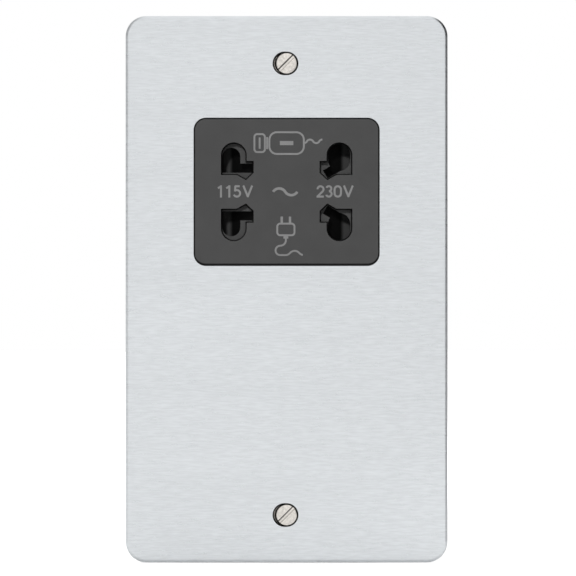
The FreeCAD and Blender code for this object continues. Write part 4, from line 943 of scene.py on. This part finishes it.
def computed(tree, operation, *terms):
    """A Math node's result from other outputs and plain numbers."""
    node = tree.nodes.new("ShaderNodeMath")
    node.operation = operation
    for socket, term in zip(node.inputs, terms):
        if isinstance(term, (int, float)):
            socket.default_value = term
        else:
            tree.links.new(term, socket)
    return node.outputs[0]


def object_place(tree):
    """A point's place on Object coordinates."""
    return tree.nodes.new("ShaderNodeTexCoord").outputs["Object"]


def object_axes(tree):
    """A point's X, Y and Z on Object coordinates."""
    return add(tree, "ShaderNodeSeparateXYZ", Vector=object_place(tree)).outputs


def grain(tree, scale, stretch=(1, 1, 1), detail=3.0):
    """Noise on Object coordinates, with scale in cells a metre, stretched along the axes."""
    mapping = add(tree, "ShaderNodeMapping", {"Scale": stretch}, Vector=object_place(tree))
    noise = add(
        tree, "ShaderNodeTexNoise", {"Scale": scale, "Detail": detail}, Vector=mapping.outputs["Vector"]
    )
    return noise.outputs["Fac"]


def ramped(tree, value, start, end, low=0.0, high=1.0):
    """A value that goes from low to high as another one goes from start to end."""
    limits = {"From Min": start, "From Max": end, "To Min": low, "To Max": high}
    return add(tree, "ShaderNodeMapRange", limits, Value=value).outputs["Result"]


def polished(tree, shader, share, low, high):
    """A roughness that goes from low to high over the middle of a noise."""
    roughness = ramped(tree, share, NOISE_LOW, NOISE_HIGH, low, high)
    tree.links.new(roughness, shader.inputs["Roughness"])


def shaded(tree, shader, share, base, spread):
    """A colour that varies about a base by a share of itself."""
    node = add(tree, "ShaderNodeValToRGB", Fac=share)
    ends = zip(node.color_ramp.elements, (NOISE_LOW, NOISE_HIGH), (1 - spread, 1 + spread))
    for element, position, ratio in ends:
        element.position = position
        element.color = [min(1, part * ratio) for part in base[:3]] + [1]
    tree.links.new(node.outputs["Color"], shader.inputs["Base Color"])


def relief(tree, shader, share, strength, distance):
    """A bump from a pattern, into the shader's normal."""
    node = add(tree, "ShaderNodeBump", {"Strength": strength, "Distance": distance}, Height=share)
    tree.links.new(node.outputs["Normal"], shader.inputs["Normal"])


def brushed(name, base):
    """Steel brushed along X: short fine streaks over broad soft bands."""
    material, tree, shader = begin(name, 1.0, 0.3)
    streaks = grain(tree, 1.0, STREAKS, 2.0)
    bands = grain(tree, 1.0, BANDS, 2.0)
    both = add(tree, "ShaderNodeMix", {"Factor": 0.22}, A=streaks, B=bands).outputs["Result"]
    shaded(tree, shader, both, base, 0.078)
    polished(tree, shader, streaks, 0.27, 0.35)
    relief(tree, shader, streaks, 0.1, 0.02 * MM)
    return material


def plated(name, base, roughness, spread, pitch=320.0):
    """Plated or stamped metal with faint handling marks."""
    material, tree, shader = begin(name, 1.0, roughness)
    cloud = grain(tree, pitch, detail=5.0)
    shaded(tree, shader, cloud, base, spread)
    polished(tree, shader, cloud, roughness * 0.8, roughness * 1.3)
    relief(tree, shader, grain(tree, 1.0, SCUFFS, 3.0), 0.08, 0.02 * MM)
    return material


def moulded(name, base, roughness=0.5, pitch=4200.0, strength=0.12, spread=0.05, specular=0.5):
    """Moulded plastic with a fine grain and slight clouding."""
    material, tree, shader = begin(name, 0.0, roughness)
    shader.inputs["Specular IOR Level"].default_value = specular
    skin = grain(tree, pitch, detail=2.0)
    shaded(tree, shader, grain(tree, 140.0, detail=4.0), base, spread)
    polished(tree, shader, skin, roughness * 0.88, roughness * 1.12)
    relief(tree, shader, skin, strength, 0.03 * MM)
    return material


def into_wall(tree):
    """How far into the wall a point lies."""
    return object_axes(tree)["Y"]


def off_middle(tree):
    """How far to either side of the middle a point lies."""
    return computed(tree, "ABSOLUTE", object_axes(tree)["X"])


def screw_place(tree):
    """A point's place across and above the nearer fixing screw's axis."""
    axes = object_axes(tree)
    rise = SCREWS_HIGH.z - settings().screws.head_radius
    middle = computed(tree, "MULTIPLY", computed(tree, "SIGN", axes["Z"]), rise)
    return axes["X"], computed(tree, "SUBTRACT", axes["Z"], middle)


def outside(tree, across, up, half_width, half_height):
    """How far a point lies outside a rectangle, by its places across and above the rectangle's middle."""
    squares = []
    for place, half in ((across, half_width), (up, half_height)):
        past = computed(tree, "SUBTRACT", computed(tree, "ABSOLUTE", place), half)
        past = computed(tree, "MAXIMUM", past, 0.0)
        squares.append(computed(tree, "MULTIPLY", past, past))
    return computed(tree, "SQRT", computed(tree, "ADD", *squares))


def from_screw(tree, run=0.0):
    """How far a point lies from a fixing screw's axis, or from a short run of it towards -X."""
    across, up = screw_place(tree)
    return outside(tree, computed(tree, "ADD", across, run / 2), up, run / 2, 0.0)


def under_rim(tree):
    """How far a point lies outside the middle of the insert's face, moved up so that painted shade lies along
    its lower rim.
    """
    axes = object_axes(tree)
    up = computed(tree, "SUBTRACT", axes["Z"], SOCKET_Z + LOWER_SHADE)
    return outside(tree, axes["X"], up, FACE_HALF_W - FACE_CORNER, FACE_HALF_H - FACE_CORNER)


def in_recess(tree):
    """How far a point lies from the middle line of a fixing screw's recess."""
    return from_screw(tree, settings().screws.recess_run)


def off_recess_line(tree):
    """How far a point lies from the line of painted highlight half-way down a recess."""
    line = settings().screws.recess_radius - GLINT_INSET
    return computed(tree, "ABSOLUTE", computed(tree, "SUBTRACT", in_recess(tree), line))


def on_head(tree):
    """A point's distance from a fixing screw's axis on its head, and nothing elsewhere."""
    front = computed(tree, "LESS_THAN", into_wall(tree), HEAD_SEAT)
    return computed(tree, "MULTIPLY", from_screw(tree), front)


def off_slot_wall(tree):
    """How far a point of a fixing screw's head lies from the upper wall of its slot."""
    sizes = settings().screws
    across, up = screw_place(tree)
    beside = computed(
        tree, "SUBTRACT", computed(tree, "MULTIPLY", up, math.cos(sizes.slot_turn)),
        computed(tree, "MULTIPLY", across, math.sin(sizes.slot_turn))
    )
    wall = (sizes.slot_width + sizes.slot_mouth) / 4
    distance = computed(tree, "ABSOLUTE", computed(tree, "SUBTRACT", beside, wall))
    return computed(tree, "ADD", distance, computed(tree, "GREATER_THAN", into_wall(tree), HEAD_SEAT))


def recoloured(material, measure, line, fade, other):
    """Fades a material's colour to another one as a measure goes past a line."""
    tree = material.node_tree
    target = tree.nodes["Principled BSDF"].inputs["Base Color"]
    start, end = fade
    share = ramped(tree, measure(tree), line + start, line + end)
    mix = tree.nodes.new("ShaderNodeMix")
    mix.data_type = "RGBA"
    old, new = [socket for socket in mix.inputs if socket.type == "RGBA"]
    tree.links.new(share, mix.inputs["Factor"])
    tree.links.new(target.links[0].from_socket, old)
    new.default_value = (*other, 1)
    tree.links.new([socket for socket in mix.outputs if socket.type == "RGBA"][0], target)


def foam(name, base):
    """Closed-cell foam with open pores at its cut faces."""
    material, tree, shader = begin(name, 0.0, 0.9)
    pores = add(tree, "ShaderNodeTexVoronoi", {"Scale": 2200.0}, Vector=object_place(tree))
    cells = pores.outputs["Distance"]
    shaded(tree, shader, cells, base, 0.35)
    relief(tree, shader, cells, 0.6, 0.08 * MM)
    return material


def laminated(name, base):
    """A stack of thin sheets along Y, with varnish on their edges."""
    material, tree, shader = begin(name, 0.6, 0.45)
    waves = {"Scale": 628.0, "Distortion": 0.4}
    sheets = add(tree, "ShaderNodeTexWave", waves, Vector=object_place(tree))
    sheets.bands_direction = "Y"
    edges = sheets.outputs["Fac"]
    shaded(tree, shader, edges, base, 0.3)
    relief(tree, shader, edges, 0.5, 0.05 * MM)
    return material


def enamelled(name, base):
    """Copper wire under clear enamel."""
    material, tree, shader = begin(name, 0.85, 0.3)
    shader.inputs["Coat Weight"].default_value = 0.6
    shader.inputs["Coat Roughness"].default_value = 0.12
    cloud = grain(tree, 1.0, ENAMEL, 3.0)
    shaded(tree, shader, cloud, base, 0.18)
    polished(tree, shader, cloud, 0.24, 0.4)
    return material


def finishes():
    """The material of each slot of the record, with painted shade and a painted highlight on the plate and
    the fixing screws, and of two nodes with painted shade or painted light of their own.
    """
    colours = settings().finish
    screws = settings().screws
    plate = brushed("brushed_plate", colours.plate)
    # Painted shade in the plate's recesses round the fixing screws
    recoloured(plate, in_recess, screws.recess_radius, RECESS_SHADE_FADE, colours.recess)
    # Painted highlight: a light line half-way down each recess
    recoloured(plate, off_recess_line, 0.0, GLINT_FADE, colours.painted_glint)
    nickel = plated("nickel_plating", colours.nickel, roughness=0.22, spread=0.16, pitch=1500.0)
    # Painted shade round the rim of each fixing screw's head
    recoloured(nickel, on_head, screws.head_radius, RIM_SHADE_FADE, colours.recess)
    # Painted shade along the upper wall of each fixing screw's slot
    recoloured(nickel, off_slot_wall, 0.0, SLOT_SHADE_FADE, colours.recess)
    insert = moulded("insert_face", colours.insert, roughness=0.55, specular=0.12)
    # Painted shade on the aperture walls and all of the insert deeper than its face
    recoloured(insert, into_wall, FACE_Y, WALL_SHADE_FADE, colours.shade)
    # Painted shade along the lower rim of the insert's face
    recoloured(insert, under_rim, FACE_CORNER, LOWER_SHADE_FADE, colours.shade)
    # Painted light: a lighter band across the shutter's outer part behind each hole
    slide = moulded("shutter_painted_light", colours.shutter, specular=0.1)
    recoloured(slide, off_middle, 0.0, LIT_BAND_START, colours.rubbed)
    recoloured(slide, off_middle, 0.0, LIT_BAND_END, colours.shutter)
    made = {
        "brushed_plate": plate,
        "foam": foam("foam_gasket", (0.045, 0.045, 0.05)),
        "nickel_screw": nickel,
        "insert_grey": moulded("insert_grey", colours.insert, roughness=0.55, specular=0.12),
        "socket_insert": insert,
        "shutter_black": moulded("shutter_black", colours.shutter, specular=0.3),
        "shutter_slide": slide,
        "carrier_black": moulded("carrier_black", (0.014, 0.014, 0.014)),
        "lamination_steel": laminated("core_laminations", (0.12, 0.12, 0.13)),
        "bobbin_nylon": moulded("bobbin_nylon", (0.66, 0.64, 0.57), roughness=0.45),
        "copper_winding": enamelled("enamelled_copper", colours.copper),
        "housing_white": moulded(
            "housing_moulding", colours.housing, pitch=2600.0, strength=0.2, spread=0.035
        ),
        "print_grey": moulded(
            "marking_ink", colours.marks, roughness=0.6, pitch=5200.0, strength=0.1, spread=0.08,
            specular=0.25
        ),
    }
    for slot, metal in METALS.items():
        made[slot] = plated(*metal)
    for slot, base in LEADS.items():
        made[slot] = moulded(slot, base, roughness=0.38, pitch=1500.0, strength=0.08)
    return made


class ShaverSocketFinishes(bpy.types.Operator):
    """Mix the finishes and give every solid of the part its own"""
    bl_idname = "shaver_socket.finishes"
    bl_label = "Finishes"

    def execute(self, context):
        FINISHES.update(finishes())
        for part in frame["record"]["subparts"]:
            node = frame["nodes"][part["node"]]
            node.data.materials.clear()
            node.data.materials.append(FINISHES.get(part["node"], FINISHES[part["material_slot"]]))
        return {"FINISHED"}


def by_ray(tree, others, mirrored, camera):
    """A strength for the camera's rays, for those of mirrors and glass, and for all others."""
    rays = tree.nodes.new("ShaderNodeLightPath").outputs
    glossy = computed(tree, "MAXIMUM", rays["Is Glossy Ray"], rays["Is Transmission Ray"])
    direct = computed(tree, "MAXIMUM", rays["Is Camera Ray"], glossy)
    shown = add(tree, "ShaderNodeMix", {"B": camera}, Factor=rays["Is Camera Ray"], A=mirrored)
    strength = add(tree, "ShaderNodeMix", {"A": others}, Factor=direct, B=shown.outputs["Result"])
    return strength.outputs["Result"]


def room_light(ambient):
    """A white room that is darker to the sides and a little below, as seen in the metal."""
    world = bpy.data.worlds.new("white_room")
    bpy.context.scene.world = world
    world.use_nodes = True
    tree = world.node_tree
    background = tree.nodes["Background"]
    background.inputs["Color"].default_value = (1, 1, 1, 1)
    direction = tree.nodes.new("ShaderNodeTexCoord").outputs["Generated"]
    way = add(tree, "ShaderNodeSeparateXYZ", Vector=direction).outputs
    mirrored = 1.0
    for axis, *fade in ROOM_FADES:
        mirrored = computed(tree, "MULTIPLY", ramped(tree, way[axis], *fade), mirrored)
    strength = by_ray(tree, others=ambient, mirrored=mirrored, camera=1.0)
    tree.links.new(strength, background.inputs["Strength"])


def pale_floor(sizes):
    """A pale floor just under the plate, which the camera sees as white with the object's shadow."""
    deselect()
    bpy.ops.mesh.primitive_plane_add(size=FLOOR_SIZE, location=(0, 0, PLATE_LOW.z - sizes.floor_gap))
    floor = apply_place(named("pale_floor"))
    material, tree, shader = begin("pale_floor", 0.0, 0.9)
    shaded(tree, shader, grain(tree, 6.0), sizes.floor, 0.01)
    shader.inputs["Specular IOR Level"].default_value = 0.1
    shader.inputs["Emission Color"].default_value = (1, 1, 1, 1)
    axes = object_axes(tree)
    away = computed(tree, "ABSOLUTE", axes["Y"])
    # Painted shadow: the floor's glow that the metal mirrors fades out to the right and next to the plate
    mirrored = computed(tree, "MULTIPLY", ramped(tree, axes["X"], *FLOOR_RIGHT_SHADE), sizes.floor_lift)
    mirrored = computed(tree, "MULTIPLY", ramped(tree, away, *FLOOR_CONTACT_SHADOW), mirrored)
    lift = by_ray(tree, others=0.0, mirrored=mirrored, camera=sizes.floor_white)
    tree.links.new(lift, shader.inputs["Emission Strength"])
    floor.data.materials.append(material)


def lamp(kind, name, place, strength):
    """A lamp aimed at the middle of the plate."""
    deselect()
    bpy.ops.object.light_add(type=kind, location=place)
    light = named(name)
    light.data.energy = strength
    light.rotation_euler = (-Vector(place)).to_track_quat("-Z", "Y").to_euler()
    light.visible_glossy = False
    return light.data


class ShaverSocketStage(bpy.types.Operator):
    """Set the floor, the soft light and the camera"""
    bl_idname = "shaver_socket.stage"
    bl_label = "Stage"

    def execute(self, context):
        sizes = settings().stage
        room_light(sizes.ambient)
        pale_floor(sizes)
        lamp("SUN", "key_lamp", KEY_PLACE, sizes.key_strength).angle = sizes.key_spread
        lamp("AREA", "back_lamp", BACK_PLACE, sizes.back_power).size = sizes.back_size
        deselect()
        bpy.ops.object.camera_add(
            location=(sizes.aim_x, PLATE_LOW.y - sizes.distance, sizes.aim_z), rotation=(math.pi / 2, 0, 0)
        )
        camera = named("front_camera")
        camera.data.lens = camera.data.sensor_width * sizes.distance / sizes.view_width
        context.scene.camera = camera
        context.scene.view_settings.view_transform = "Standard"
        return {"FINISHED"}


PIECE_OPERATORS = (
    ShaverSocketFinishes,
    ShaverSocketFixingScrews,
    ShaverSocketStuds,
    ShaverSocketClampScrews,
    ShaverSocketWindings,
    ShaverSocketSprings,
    ShaverSocketSwitchLeaf,
    ShaverSocketFigures,
    ShaverSocketShaverSign,
    ShaverSocketCurrentSign,
    ShaverSocketPlugSign,
    ShaverSocketTerminalMarks,
    ShaverSocketStage,
)


class ShaverSocketPanel(bpy.types.Panel):
    """The socket's sizes, colours and steps"""
    bl_idname = "VIEW3D_PT_shaver_socket"
    bl_label = "Shaver Socket"
    bl_space_type = "VIEW_3D"
    bl_region_type = "UI"
    bl_category = "Shaver Socket"

    def draw(self, context):
        groups = settings()
        for group in (groups.marks, groups.screws, groups.springs, groups.finish, groups.stage):
            box = self.layout.box()
            for key in group.bl_rna.properties.keys():
                if key not in ("rna_type", "name"):
                    box.prop(group, key)
        for operator in PIECE_OPERATORS:
            self.layout.operator(operator.bl_idname)


CLASSES = (
    ShaverPrintSettings,
    ShaverScrewSettings,
    ShaverSpringSettings,
    ShaverFinishSettings,
    ShaverStageSettings,
    ShaverSocketSettings,
    *PIECE_OPERATORS,
    ShaverSocketPanel,
)


def register():
    """Registers the classes and hangs the settings on the scene."""
    for item in CLASSES:
        bpy.utils.register_class(item)
    bpy.types.Scene.shaver_socket = PointerProperty(type=ShaverSocketSettings)


def unregister():
    """Takes the settings and classes away again."""
    del bpy.types.Scene.shaver_socket
    for item in reversed(CLASSES):
        bpy.utils.unregister_class(item)


def main():
    """Makes every piece in order."""
    register()
    for operator in PIECE_OPERATORS:
        group, step = operator.bl_idname.split(".")
        getattr(getattr(bpy.ops, group), step)()


if __name__ == "__main__":
    main()
